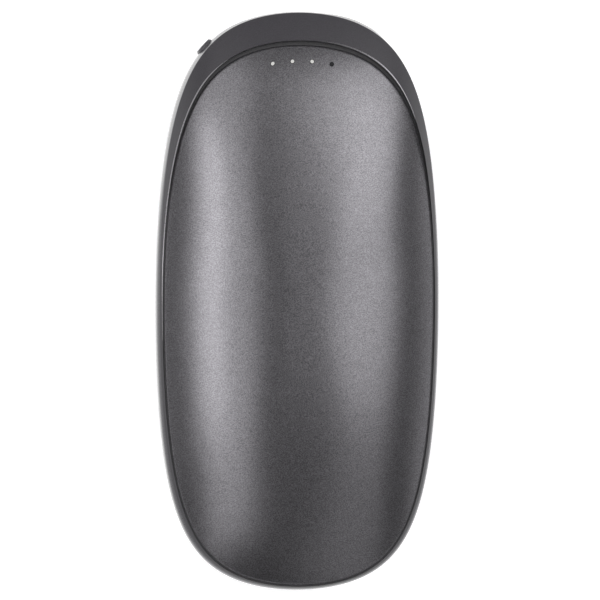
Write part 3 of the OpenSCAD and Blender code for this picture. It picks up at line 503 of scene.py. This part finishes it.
def frame_section(form, t):
    """Corners of the frame's section at each angle, from the mid plane over to the inside and back
    under it. Only the upper half swells at its shoulder."""
    upper, radii = half_section(form, t, form.shoulder_swell(t))
    lower, below = half_section(form, t, np.zeros_like(t))
    return np.concatenate([upper, lower[:0:-1] * [1, 1, -1]]), radii + below[:0:-1]


def half_section(form, t, swell):
    """Corners and radii of the section's upper half: outline, inset, height, radius."""
    rim, lip = form.rim, form.lip
    ledge, wall = lip.inset(LEDGE_W), rim.inset(form.sizes.frame_wall)
    seat, top, side, cut = form.seat_top(t), form.lip_top(t), 1 - form.rise(t), form.lip_cut(t)
    edge_h = form.between((EDGE_H, form.sizes.collar_edge_h), t)
    return section([
        (rim, 0.0, 0.0, WAIST_R),
        (rim, SHOULDER_IN * side - swell, form.between(SHOULDER_H, t), SHOULDER_R),
        (rim, form.between(EDGE_IN, t), edge_h, EDGE_R + EDGE_R_MORE * side ** 2),
        (lip, -cut, top, 0.0),
        (lip, 0.0, top - CUT_SLOPE * cut, 0.0),
        (lip, 0.0, seat, 0.0),
        (ledge, 0.0, seat, 0.0),
        (ledge, 0.0, seat - LEDGE_T, 0.0),
        (wall, 0.0, seat - WALL_STEP, 0.0),
    ], t)


def lug(x, y, mid_z):
    """Block under the mid plane that takes a screw of the cradle, on one side of the frame."""
    low, high = sorted(x)
    return box_skin("lug", (low, y - LUG_HALF_L, mid_z - LUG_H), (high, y + LUG_HALF_L, mid_z))


def screw_hole(x, y, mid_z):
    """Cutter of a lug's screw hole: a circle carried up through the lug."""
    a = angles(SCREW_STEPS)
    rings = points(SCREW_R * np.cos(a), SCREW_R * np.sin(a), np.array(SCREW_ZS)[:, None])
    return capped_skin("screw_hole", rings + [x, y, mid_z])


def port_window(form, name, x, z, w, h, r):
    """Cutter of a port's window: its outline carried out to the curved end wall, Y = wall - back,
    with a bevelled mouth. Its inner end is flat."""
    loops = []
    for grow, back, flat in ((0.0, PORT_IN, True), (0.0, PORT_BEVEL, False),
                             (PORT_BEVEL, 0.0, False), (PORT_BEVEL, -PORT_OUT, False)):
        across, up = rounded_rectangle(w + 2 * grow, h + 2 * grow, r + grow)
        wall = form.rim_y(x if flat else x + across)
        loops.append(points(x + across, wall - back, form.sizes.mid_z + z + up))
    return capped_skin(name, np.array(loops))


def to_button(form, rings):
    """Rings given along the button's own normal, turned and moved to its place on the rim."""
    place, turn = form.button_place()
    c, s = np.cos(turn), np.sin(turn)
    x, y, z = rings[..., 0], rings[..., 1], rings[..., 2]
    return points(place.x + c * x - s * y, place.y + s * x + c * y, place.z + z)


def button_hole(form, w, h, r, start, end):
    """Cutter of the cap's hole or the flange's seat: an outline carried along the normal."""
    across, up = rounded_rectangle(w, h, r, steps=24)
    rings = points(np.array([start, end])[:, None], across[None], up[None])
    return capped_skin("button_hole", to_button(form, rings))


class WARMER_OT_frame(bpy.types.Operator):
    """Make the moulded frame with its collar, windows, button hole and lugs"""
    bl_idname = "warmer.frame"
    bl_label = "Frame"

    def execute(self, context):
        sizes, finishes = context.scene.warmer_sizes, context.scene.warmer_finishes
        form = Form(sizes)
        t = angles(sizes.around)
        rings, starts = rounded(*frame_section(form, t))
        rings[..., 2] += sizes.mid_z
        piece = make_skin("warmer_frame", rings)
        number_finishes(piece, self.finish_numbers(form, t, len(rings), starts))
        sides = [(side, y) for y in LUG_YS for side in (-1, 1)]
        lugs = [lug([side * x for x in LUG_XS], y, sizes.mid_z) for side, y in sides]
        carve(piece, lugs, "UNION")
        cutters = [screw_hole(side * SCREW_X, y, sizes.mid_z) for side, y in sides]
        cutters += [port_window(form, name, *window_sizes) for name, window_sizes in PORT_WINDOWS]
        cutters += [button_hole(form, *hole) for hole in BUTTON_HOLES]
        carve(piece, cutters, "DIFFERENCE")
        dress(piece, "frame", "frame_plastic", frame_plastic(finishes), burnished_lip(finishes),
              wall_plastic(finishes))
        return {"FINISHED"}

    @staticmethod
    def finish_numbers(form, t, count, starts):
        """Finish of each quad: 2 on the wall, out to the faces of front and back, 1 on the bright
        cut where it is wide enough to see, and 0 elsewhere."""
        rows = np.arange(count)
        wall = (rows < starts[LIP_CORNER] - 1) | (rows >= starts[BACK_EDGE_CORNER])
        cut = np.isin(rows, (starts[LIP_CORNER], starts[BACK_LIP_CORNER]))
        seen = cut[:, None] & (form.lip_cut(t) > CUT_SEEN)
        return np.where(seen, 1, np.where(wall[:, None], 2, 0))


# Panels

def panel_rings(form, t, land=None):
    """Rings of a panel from the outer pole over the rounded edge and back to the inner pole. Shares
    follow sin u, so that rings gather at the edge. With a land the first rings lie on its plane.
    Gives the rings, and 1 for the quads of the edge."""
    sizes, panel, bend = form.sizes, form.panel, form.between(PANEL_ROUND, t)
    edge, foot = form.panel_edge(t), form.seat_top(t) + PANEL_FOOT
    last = 1 - bend / np.hypot(*panel.at(t))
    u = np.linspace(0, np.pi / 2, CROWN_STEPS + 1)[1:, None]
    if land is None:
        shares = last * np.sin(u) * np.ones_like(t)
        heights = form.crown(t, shares)
    else:
        fall = (sizes.crown_h - land) / (sizes.crown_h - edge)
        land_share = fall ** (1 / form.crown_power(t))
        inner = land_share * np.linspace(0, 1, LAND_STEPS + 1)[1:, None]
        shares = np.vstack([inner, land_share + (last - land_share) * np.sin(u)])
        heights = np.vstack([np.full_like(inner, land), form.crown(t, shares[len(inner):])])
    rows = [points(*panel.at(t, shares), heights)]
    v = np.linspace(0, 1, BEND_STEPS + 1)[1:, None, None]
    rows.append(bent(points(*panel.at(t, last), form.crown(t, last)), points(*panel.at(t), edge),
                     points(*panel.at(t), edge - bend), v))
    for d, z in ((0.0, foot), (sizes.panel_t, foot), (sizes.panel_t, edge - sizes.panel_t)):
        rows.append(points(*panel.inset_at(d, t), z)[None])
    inside = panel.inset(sizes.panel_t)
    inner_shares = np.sin(np.linspace(np.pi / 2, 0, INNER_STEPS + 2)[1:-1, None]) * np.ones_like(t)
    rows.append(points(*inside.at(t, inner_shares), form.crown(t, inner_shares, sizes.panel_t)))
    rings = np.concatenate(rows)
    row = np.arange(len(rings) - 1)
    at_edge = (row >= len(shares) - 1) & (row < len(shares) + len(v))
    return rings, np.repeat(at_edge.astype(np.int32)[:, None], len(t), axis=1)


def lamp_places(sizes):
    """X and Y of the lamps, evenly spread on a circle's arc: Y = top - r + sqrt(r^2 - X^2)."""
    x = (np.arange(LAMP_COUNT) - (LAMP_COUNT - 1) / 2) * sizes.lamp_pitch
    return x, LAMP_ARC_Y - LAMP_ARC_R + np.sqrt(LAMP_ARC_R * LAMP_ARC_R - x * x)


def lamp_hole(form, x, y):
    """Cutter of a lamp hole: a turned profile, straight and then flared where it meets the crown,
    whose height is taken at the hole's share of the way out to the panel's edge."""
    t = form.panel.angle_to(x, y)
    share = np.hypot(x, y) / np.hypot(*form.panel.at(t))
    skin = form.sizes.mid_z + float(form.crown(t, share))
    profile = np.array(LAMP_HOLE) + [form.sizes.lamp_hole_d / 2, skin]
    r, z = profile[:, :1], profile[:, 1:]
    a = angles(LAMP_STEPS)
    return capped_skin("lamp_hole", points(x + r * np.cos(a), y + r * np.sin(a), z))


class WARMER_OT_panels(bpy.types.Operator):
    """Make the two domed metal panels, with lamp holes in front and a resting land at the back"""
    bl_idname = "warmer.panels"
    bl_label = "Panels"

    def execute(self, context):
        sizes, finishes = context.scene.warmer_sizes, context.scene.warmer_finishes
        form = Form(sizes)
        metals = (metal_finish("panel_metal", finishes, 0.32),
                  metal_finish("panel_edge", finishes, 0.6))
        holes = list(zip(*lamp_places(sizes)))
        for node, turn, land, cuts in (("front_panel", 1, None, holes),
                                       ("back_panel", -1, sizes.mid_z, ())):
            rings, edge = panel_rings(form, angles(sizes.around), land)
            top = sizes.crown_h if land is None else land
            poles = np.array([[0, 0, top], [0, 0, sizes.crown_h - sizes.panel_t]])
            flip, lift = [1, 1, turn], np.array([0, 0, sizes.mid_z])
            piece = make_skin(f"warmer_{node}", rings * flip + lift, poles * flip + lift)
            number_finishes(piece, edge)
            if cuts:
                carve(piece, [lamp_hole(form, *place) for place in cuts], "DIFFERENCE")
            dress(piece, node, "panel_metal", *metals)
        return {"FINISHED"}


class WARMER_OT_gaskets(bpy.types.Operator):
    """Make the foam gaskets, which swell up a little in the shadow gap"""
    bl_idname = "warmer.gaskets"
    bl_label = "Gaskets"

    def execute(self, context):
        sizes, finishes = context.scene.warmer_sizes, context.scene.warmer_finishes
        form = Form(sizes)
        t = angles(sizes.around)
        foam = plain_finish("seal_foam", finishes.foam, 0.9, size=0.3 * MM, spread=0.15)
        lip, panel, seat = form.lip, form.panel, form.seat_top(t)
        top = form.panel_edge(t) - form.between(FOAM_DOWN, t)
        rings, _ = rounded(*section([
            (lip, FOAM_CLEAR, seat, 0.0),
            (lip, FOAM_CLEAR, top - form.between(FOAM_FALL, t), FOAM_LIP_R),
            (panel, -FOAM_CLEAR, top, FOAM_PANEL_R),
            (panel, -FOAM_CLEAR, seat + FOAM_T, 0.0),
            (lip, FOAM_W, seat + FOAM_T, 0.0),
            (lip, FOAM_W, seat, 0.0),
        ], t))
        for node, turn in (("front_gasket", 1), ("back_gasket", -1)):
            piece = make_skin(f"warmer_{node}", rings * [1, 1, turn] + [0, 0, sizes.mid_z])
            dress(piece, node, "seal_foam", foam)
        return {"FINISHED"}


# Button

class WARMER_OT_button(bpy.types.Operator):
    """Make the power button: nub, flange, and a cap with a rounded edge and a faintly domed face"""
    bl_idname = "warmer.button"
    bl_label = "Power button"

    def execute(self, context):
        sizes = context.scene.warmer_sizes
        form = Form(sizes)
        loops = self.loops(sizes.button_proud, sizes.button_w, sizes.button_h)
        rows = [points(x, *rounded_rectangle(w, h, r, steps=16)) for x, w, h, r in loops]
        ends = np.array([[[NUB_START, 0, 0], [sizes.button_proud, 0, 0]]])
        piece = make_skin("warmer_power_button", to_button(form, np.array(rows)),
                          to_button(form, ends)[0])
        dress(piece, "power_button", "button_plastic",
              button_plastic(context.scene.warmer_finishes), body="power_button")
        return {"FINISHED"}

    @staticmethod
    def loops(proud, w, h):
        """Place on the way out, width, height and corner radius of each loop. The cap's face lies
        dome * (1 - s)^2 under its middle, with s from 0 at the edge to 1."""
        loops = [(NUB_START, *NUB), (FLANGE_START, *NUB), (FLANGE_START, *FLANGE),
                 (FLANGE_END, *FLANGE), (FLANGE_END, w, h, w / 2)]
        for rise, share in CAP_PROFILE:
            d = share * CAP_EDGE
            loops.append((proud - CAP_DOME - CAP_EDGE_H * (1 - rise), w - 2 * d, h - 2 * d,
                          w / 2 - d))
        for s in np.linspace(0, 1, DOME_STEPS + 1)[1:-1]:
            d = CAP_EDGE + (w / 2 - CAP_EDGE) * s
            loops.append((proud - CAP_DOME * (1 - s) ** 2, w - 2 * d, h - 2 * d, w / 2 - d))
        return loops


# Finishes

class Nodes:
    """Short way to build the nodes of a material, or of a world round its own shader"""

    def __init__(self, name, kind=bpy.data.materials, shader="Principled BSDF"):
        self.owner = kind.new(name)
        self.owner.use_nodes = True
        self.tree = self.owner.node_tree
        self.shader = self.tree.nodes[shader]
        self.places = self.add("ShaderNodeTexCoord").outputs

    def feed(self, socket, value):
        """Joins an input to another socket, or sets it to a value."""
        if isinstance(value, bpy.types.NodeSocket):
            self.tree.links.new(value, socket)
        elif socket.type == "RGBA":
            socket.default_value = (*value[:3], 1.0)
        else:
            socket.default_value = value

    def add(self, kind, **inputs):
        """A node of a kind, with its inputs by name."""
        node = self.tree.nodes.new(kind)
        for name, value in inputs.items():
            self.feed(node.inputs[name.replace("_", " ")], value)
        return node

    def set(self, **inputs):
        """Inputs of the shader, by name."""
        for name, value in inputs.items():
            self.feed(self.shader.inputs[name.replace("_", " ")], value)

    def math(self, operation, *values):
        """The result of a math operation on sockets and numbers."""
        node = self.tree.nodes.new("ShaderNodeMath")
        node.operation = operation
        for socket, value in zip(node.inputs, values):
            self.feed(socket, value)
        return node.outputs[0]

    def hypot(self, x, y):
        """Square root of x^2 + y^2."""
        return self.math("SQRT", self.math("ADD", self.math("MULTIPLY", x, x),
                                           self.math("MULTIPLY", y, y)))

    def noise(self, size, detail=2.0, roughness=0.5):
        """Noise with features of a size in metres, from 0 to 1."""
        return self.add("ShaderNodeTexNoise", Vector=self.places["Object"], Scale=1 / size,
                        Detail=detail, Roughness=roughness).outputs["Fac"]

    def split(self, place):
        """X, Y and Z of a kind of place."""
        return self.add("ShaderNodeSeparateXYZ", Vector=self.places[place]).outputs

    def ramp(self, value, low, high, start=0.35, end=0.65, kind="LINEAR"):
        """From low at start to high at end, as a value goes. Noise lies mostly between the usual
        ends."""
        node = self.add("ShaderNodeMapRange", Value=value, From_Min=start, From_Max=end,
                        To_Min=low, To_Max=high)
        node.interpolation_type = kind
        return node.outputs["Result"]

    def tint(self, colour, factor):
        """A colour times a varying factor."""
        node = self.add("ShaderNodeVectorMath")
        node.operation = "SCALE"
        node.inputs[0].default_value = tuple(colour)
        self.feed(node.inputs["Scale"], factor)
        return node.outputs["Vector"]

    def bump(self, height, depth):
        """Relief of a depth in metres, at half strength."""
        node = self.add("ShaderNodeBump", Height=height, Distance=depth, Strength=0.5)
        self.feed(self.shader.inputs["Normal"], node.outputs["Normal"])

    def mix(self, share, first, second):
        """A mix of two shaders, by the share of the second."""
        node = self.add("ShaderNodeMixShader", Fac=share)
        self.feed(node.inputs[1], first)
        self.feed(node.inputs[2], second)
        return node.outputs[0]


def grained(name, base, roughness, size, spread, change=0.06, detail=2.0, crumble=0.5,
            relief=0.0, **shader):
    """A finish whose fine noise varies its colour by a share either way, raises its roughness by
    up to the change, and gives it relief."""
    n = Nodes(name)
    grain = n.noise(size, detail, crumble)
    n.set(Base_Color=n.tint(base, n.ramp(grain, 1 - spread, 1 + spread)),
          Roughness=n.ramp(grain, roughness, roughness + change), **shader)
    if relief:
        n.bump(grain, relief)
    return n.owner


def metal_finish(name, finishes, roughness):
    """Bead-blasted, anodised metal: fine speckle in colour and relief over faint broad mottling."""
    n = Nodes(name)
    grain = n.noise(0.2 * MM, detail=1.0)
    speckle = n.ramp(grain, 0.68, 1.32)
    mottling = n.ramp(n.noise(2.2 * MM), 0.97, 1.03)
    n.set(Base_Color=n.tint(finishes.metal, n.math("MULTIPLY", speckle, mottling)), Metallic=1.0,
          Roughness=n.ramp(grain, roughness, roughness + 0.04))
    n.bump(grain, 0.003 * MM)
    return n.owner


def frame_plastic(finishes):
    """Moulded plastic with a fine eroded texture under a thin, dull clear coat."""
    return grained("frame_plastic", finishes.plastic, roughness=0.5, size=0.22 * MM, spread=0.2,
                   crumble=0.6, relief=0.003 * MM, IOR=1.45, Coat_Weight=0.6, Coat_Roughness=0.34,
                   Coat_IOR=1.4)


def wall_plastic(finishes):
    """The same plastic on the wall, where the mould is polished and its clear coat runs smooth."""
    return grained("wall_plastic", finishes.plastic, roughness=0.26, size=0.22 * MM, spread=0.1,
                   crumble=0.6, IOR=1.48, Specular_Tint=(0.95, 0.93, 1.0), Coat_Weight=1.0,
                   Coat_Roughness=0.1, Coat_IOR=1.4)


def burnished_lip(finishes):
    """The bright cut along the frame's lip, with fine marks of the cutter."""
    return grained("burnished_lip", finishes.lip, roughness=0.26, size=0.15 * MM, spread=0.05,
                   detail=1.0, Metallic=1.0)


def button_plastic(finishes):
    """Plastic a little lighter and smoother than the frame's, with a deeper texture."""
    return grained("button_plastic", finishes.button, roughness=0.36, size=0.18 * MM, spread=0.1,
                   relief=0.006 * MM)


def plain_finish(name, base, roughness, metallic=0.0, size=0.4 * MM, spread=0.08):
    """A finish with fine variation in colour and relief, and in roughness by 0.04 either way."""
    return grained(name, base, roughness - 0.04, size, spread, change=0.08, relief=0.005 * MM,
                   Metallic=metallic)


def light_clear(sizes, finishes):
    """Clear plastic posts: lit from below in the first three lamp holes, unlit in the last. The
    glow fills a disc round each place on the lamps' arc, taken as Y = top - X^2 / 2r."""
    n = Nodes("guide_clear")
    x, y, z = n.split("Object")
    pitch = sizes.lamp_pitch
    lit = n.math("MULTIPLY", n.ramp(x, 1.0, 0.0, pitch - LIT_BORDER, pitch + LIT_BORDER),
                 n.ramp(z, 0.0, 1.0, *LIT_HEIGHTS))
    across = n.math("SUBTRACT", n.math("FLOORED_MODULO", x, pitch), pitch / 2)
    arc = n.math("ADD", y, n.math("DIVIDE", n.math("MULTIPLY", x, x), 2 * LAMP_ARC_R))
    reach = n.hypot(across, n.math("SUBTRACT", arc, LAMP_ARC_Y))
    lit = n.math("MULTIPLY", lit, n.ramp(reach, 1.0, 0.0, *LIT_RADII))
    n.set(Base_Color=(0.02, 0.02, 0.022), Roughness=0.18, Emission_Color=tuple(finishes.glow),
          Emission_Strength=n.math("MULTIPLY", lit, finishes.lamp_level))
    return n.owner


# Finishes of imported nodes: name, colour, roughness, metal share, nodes, and a grain's own size and
# spread
PORT_FINISHES = (
    ("port_steel", (0.62, 0.62, 0.63), 0.26, 1.0, ("output_shell", "charge_shell"),
     0.5 * MM, 0.05),
    ("tongue_white", (0.72, 0.72, 0.70), 0.45, 0.0, ("output_tongue",)),
    ("tongue_black", (0.03, 0.03, 0.032), 0.4, 0.0, ("charge_tongue",)),
    ("contact_gold", (0.85, 0.62, 0.26), 0.25, 1.0, ("output_contacts", "charge_contacts"),
     0.3 * MM, 0.05),
)
INSIDE_FINISHES = (
    ("heater_film", (0.48, 0.2, 0.04), 0.35, 0.0,
     ("front_heater", "back_heater", "front_heater_tail", "back_heater_tail")),
    ("pad_felt", (0.66, 0.66, 0.62), 0.95, 0.0, ("front_insulation", "back_insulation")),
    ("cell_wrap", (0.05, 0.2, 0.45), 0.3, 0.0, ("cell_left", "cell_right")),
    ("cradle_plastic", (0.55, 0.55, 0.53), 0.5, 0.0, ("cell_cradle",)),
    ("screw_steel", (0.55, 0.55, 0.56), 0.3, 1.0, ("cradle_screws", "board_screws")),
    ("nickel", (0.68, 0.66, 0.6), 0.3, 1.0, ("positive_strip", "negative_strip")),
    ("lead_red", (0.5, 0.02, 0.015), 0.45, 0.0, ("positive_lead",)),
    ("lead_black", (0.015, 0.015, 0.016), 0.45, 0.0, ("negative_lead",)),
    ("board_mask", (0.01, 0.11, 0.035), 0.35, 0.0, ("main_board", "indicator_board")),
    ("switch_plastic", (0.03, 0.03, 0.032), 0.45, 0.0, ("switch_body", "board_link")),
    ("plunger_plastic", (0.65, 0.64, 0.6), 0.4, 0.0, ("switch_plunger",)),
    ("chip_epoxy", (0.012, 0.012, 0.013), 0.5, 0.0, ("controller_chip",)),
    ("ferrite", (0.07, 0.07, 0.075), 0.6, 0.0, ("power_inductor",)),
    ("ceramic", (0.48, 0.36, 0.2), 0.4, 0.0, ("capacitors",)),
    ("lamp_lens", (0.85, 0.85, 0.78), 0.3, 0.0, ("status_lamps",)),
    ("socket_plastic", (0.75, 0.72, 0.62), 0.5, 0.0, ("tail_sockets",)),
    ("sensor_bead", (0.015, 0.015, 0.015), 0.35, 0.0, ("thermal_sensors",)),
)


def finish_nodes(material, nodes):
    """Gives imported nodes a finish."""
    for node in nodes:
        piece = frame["nodes"][node]
        if not piece.data.materials:
            piece.data.materials.append(material)
        for slot in piece.material_slots:
            slot.material = material


def finish_rows(rows):
    """Gives the nodes of a table's rows their finishes."""
    for name, base, roughness, metallic, nodes, *grain in rows:
        finish_nodes(plain_finish(name, base, roughness, metallic, *grain), nodes)


class WARMER_OT_ports(bpy.types.Operator):
    """Finish the shells, tongues and contacts of both ports"""
    bl_idname = "warmer.ports"
    bl_label = "Ports"

    def execute(self, context):
        finish_rows(PORT_FINISHES)
        return {"FINISHED"}


class WARMER_OT_insides(bpy.types.Operator):
    """Finish the light guide and every piece inside the body"""
    bl_idname = "warmer.insides"
    bl_label = "Inside pieces"

    def execute(self, context):
        clear = light_clear(context.scene.warmer_sizes, context.scene.warmer_finishes)
        finish_nodes(clear, ("light_guide",))
        finish_rows(INSIDE_FINISHES)
        return {"FINISHED"}


# Stage

# Soft boxes: name, lean from the vertical, half spread, lowest and highest tilt, all in degrees,
# and radiance
SOFT_BOXES = (
    ("left_key", -51.1, 11.1, -10.0, 20.6, 2.58),
    ("left_wash", -34.9, 20.4, -46.0, 47.6, 1.32),
    ("right_key", 36.6, 26.3, -3.3, 43.2, 1.90),
    ("right_wash", 35.4, 19.7, -65.0, 41.4, 0.52),
    ("end_wash", 4.0, 24.0, 36.0, 53.0, 0.3),
)
BOX_DISTANCE = 0.9  # metres, as below
FLOOR_HALF, FLOOR_Z = 4.0, -0.01 * MM
FLOOR_LIFT = (0.6, 1.0, 0.2, 1.0)  # least and full strength of its white, and where they lie
HORIZON = (0.017, 0.072)  # sine of the elevation where the sky's white ends and its grey starts
SENSOR_W, LENS = 36.0, 234.9  # in millimetres, as Blender has them
NEAR, FAR = 0.05, 20.0
CAMERA_YAW, CAMERA_ROLL, CAMERA_DISTANCE = np.radians(5.8), 0.0032, 0.8
PIXEL = 1 / 4893  # size of a picture's pixel on the body
SHIFT_RIGHT, SHIFT_UP = 2.8, 0.85  # of the camera, in pixels


class WARMER_OT_stage(bpy.types.Operator):
    """Make the floor, the soft sky, five soft boxes and the camera"""
    bl_idname = "warmer.stage"
    bl_label = "Stage"

    def execute(self, context):
        finishes = context.scene.warmer_finishes
        self.floor(finishes)
        self.sky(context.scene, finishes)
        for name, lean, spread, low, high, radiance in SOFT_BOXES:
            self.soft_box(name, *np.radians([lean, spread, low, high]),
                          radiance * finishes.light_level)
        self.camera(context.scene)
        context.scene.view_settings.view_transform = "Standard"
        return {"FINISHED"}

    @staticmethod
    def floor(finishes):
        """A wide plane that lights as plain paint, and shows white to the camera and in gloss. It
        has no underside, so that the back of the body shows from below."""
        mesh = bpy.data.meshes.new("floor")
        r, z = FLOOR_HALF, FLOOR_Z
        mesh.from_pydata([(-r, -r, z), (r, -r, z), (r, r, z), (-r, r, z)], [], [(0, 1, 2, 3)])
        floor = bpy.data.objects.new("floor", mesh)
        bpy.context.scene.collection.objects.link(floor)
        n = Nodes("floor")
        n.tree.nodes.remove(n.shader)
        patches = n.ramp(n.noise(60 * MM), 0.995, 1.005)
        paint = n.add("ShaderNodeBsdfDiffuse", Color=n.tint(finishes.floor, patches))
        light = n.add("ShaderNodeLightPath").outputs
        x, y, _ = n.split("Object")
        lift = n.math("MULTIPLY", light["Is Camera Ray"], n.ramp(n.hypot(x, y), *FLOOR_LIFT))
        glow = n.add("ShaderNodeEmission", Color=(1, 1, 1), Strength=lift)
        seen = n.add("ShaderNodeAddShader")
        n.feed(seen.inputs[0], paint.outputs[0])
        n.feed(seen.inputs[1], glow.outputs[0])
        mirrored = n.math("MAXIMUM", light["Is Glossy Ray"], light["Is Transmission Ray"])
        white = n.add("ShaderNodeEmission", Color=(1, 1, 1), Strength=1.0)
        above = n.mix(mirrored, seen.outputs[0], white.outputs[0])
        below = n.add("ShaderNodeBsdfTransparent").outputs[0]
        either = n.mix(n.add("ShaderNodeNewGeometry").outputs["Backfacing"], above, below)
        n.feed(n.tree.nodes["Material Output"].inputs["Surface"], either)
        mesh.materials.append(n.owner)

    @staticmethod
    def sky(scene, finishes):
        """A sky that is white at the horizon and falls to a level grey overhead."""
        n = Nodes("sky", bpy.data.worlds, "Background")
        up = n.split("Generated")["Z"]
        n.set(Color=(1, 1, 1), Strength=n.ramp(up, 1.0, finishes.sky_level, *HORIZON, "SMOOTHSTEP"))
        scene.world = n.owner

    @staticmethod
    def soft_box(name, lean, spread, low, high, radiance):
        """A flat light that leans sideways from the vertical, as wide as twice its spread, and
        reaches from one tilt to another towards +Y. Its power is pi * area * radiance."""
        tilt, reach = (low + high) / 2, (high - low) / 2
        away = Vector((np.sin(lean) * np.cos(tilt), np.sin(tilt), np.cos(lean) * np.cos(tilt)))
        right = Vector((np.cos(lean), 0.0, -np.sin(lean)))
        data = bpy.data.lights.new(name, "AREA")
        data.shape = "RECTANGLE"
        data.size = 2 * BOX_DISTANCE * np.tan(spread)
        data.size_y = 2 * BOX_DISTANCE * np.tan(reach)
        data.energy = np.pi * data.size * data.size_y * radiance
        lamp = bpy.data.objects.new(name, data)
        bpy.context.scene.collection.objects.link(lamp)
        lamp.matrix_world = (Matrix.Translation(away * BOX_DISTANCE)
                             @ Matrix((right, away.cross(right), away)).transposed().to_4x4())
        lamp.visible_camera = False

    @staticmethod
    def camera(scene):
        """A long lens straight above the front, turned a little about the long axis."""
        data = bpy.data.cameras.new("camera")
        data.sensor_width, data.lens = SENSOR_W, LENS
        data.clip_start, data.clip_end = NEAR, FAR
        camera = bpy.data.objects.new("camera", data)
        scene.collection.objects.link(camera)
        right = Vector((np.cos(CAMERA_YAW), 0.0, np.sin(CAMERA_YAW)))
        away = Vector((-np.sin(CAMERA_YAW), 0.0, np.cos(CAMERA_YAW)))
        up = Vector((0.0, 1.0, 0.0))
        place = (Vector((0, 0, MID_Z)) + away * CAMERA_DISTANCE
                 + right * SHIFT_RIGHT * PIXEL + up * SHIFT_UP * PIXEL)
        camera.matrix_world = (Matrix.Translation(place)
                               @ Matrix((right, up, away)).transposed().to_4x4()
                               @ Matrix.Rotation(CAMERA_ROLL, 4, "Z"))
        scene.camera = camera


class WARMER_PT_sidebar(bpy.types.Panel):
    """Lists the steps that dress the frame, with their sizes and colours"""
    bl_idname = "WARMER_PT_sidebar"
    bl_label = "Hand Warmer"
    bl_space_type = "VIEW_3D"
    bl_region_type = "UI"
    bl_category = "Hand Warmer"

    def draw(self, context):
        for operator in OPERATORS:
            self.layout.operator(operator.bl_idname)
        for group in (context.scene.warmer_sizes, context.scene.warmer_finishes):
            column = self.layout.column(align=True)
            for name in group.__annotations__:
                column.prop(group, name)


OPERATORS = (WARMER_OT_frame, WARMER_OT_panels, WARMER_OT_gaskets, WARMER_OT_button,
             WARMER_OT_ports, WARMER_OT_insides, WARMER_OT_stage)
CLASSES = (WarmerSizes, WarmerFinishes, *OPERATORS, WARMER_PT_sidebar)


def register():
    """Registers the classes and hangs both groups of properties on the scene."""
    for item in CLASSES:
        bpy.utils.register_class(item)
    bpy.types.Scene.warmer_sizes = PointerProperty(type=WarmerSizes)
    bpy.types.Scene.warmer_finishes = PointerProperty(type=WarmerFinishes)


def unregister():
    """Takes the properties and the classes away again."""
    del bpy.types.Scene.warmer_finishes
    del bpy.types.Scene.warmer_sizes
    for item in reversed(CLASSES):
        bpy.utils.unregister_class(item)


def main():
    """Registers the add-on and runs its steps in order."""
    register()
    for operator in OPERATORS:
        area, name = operator.bl_idname.split(".")
        getattr(getattr(bpy.ops, area), name)()


if __name__ == "__main__":
    main()
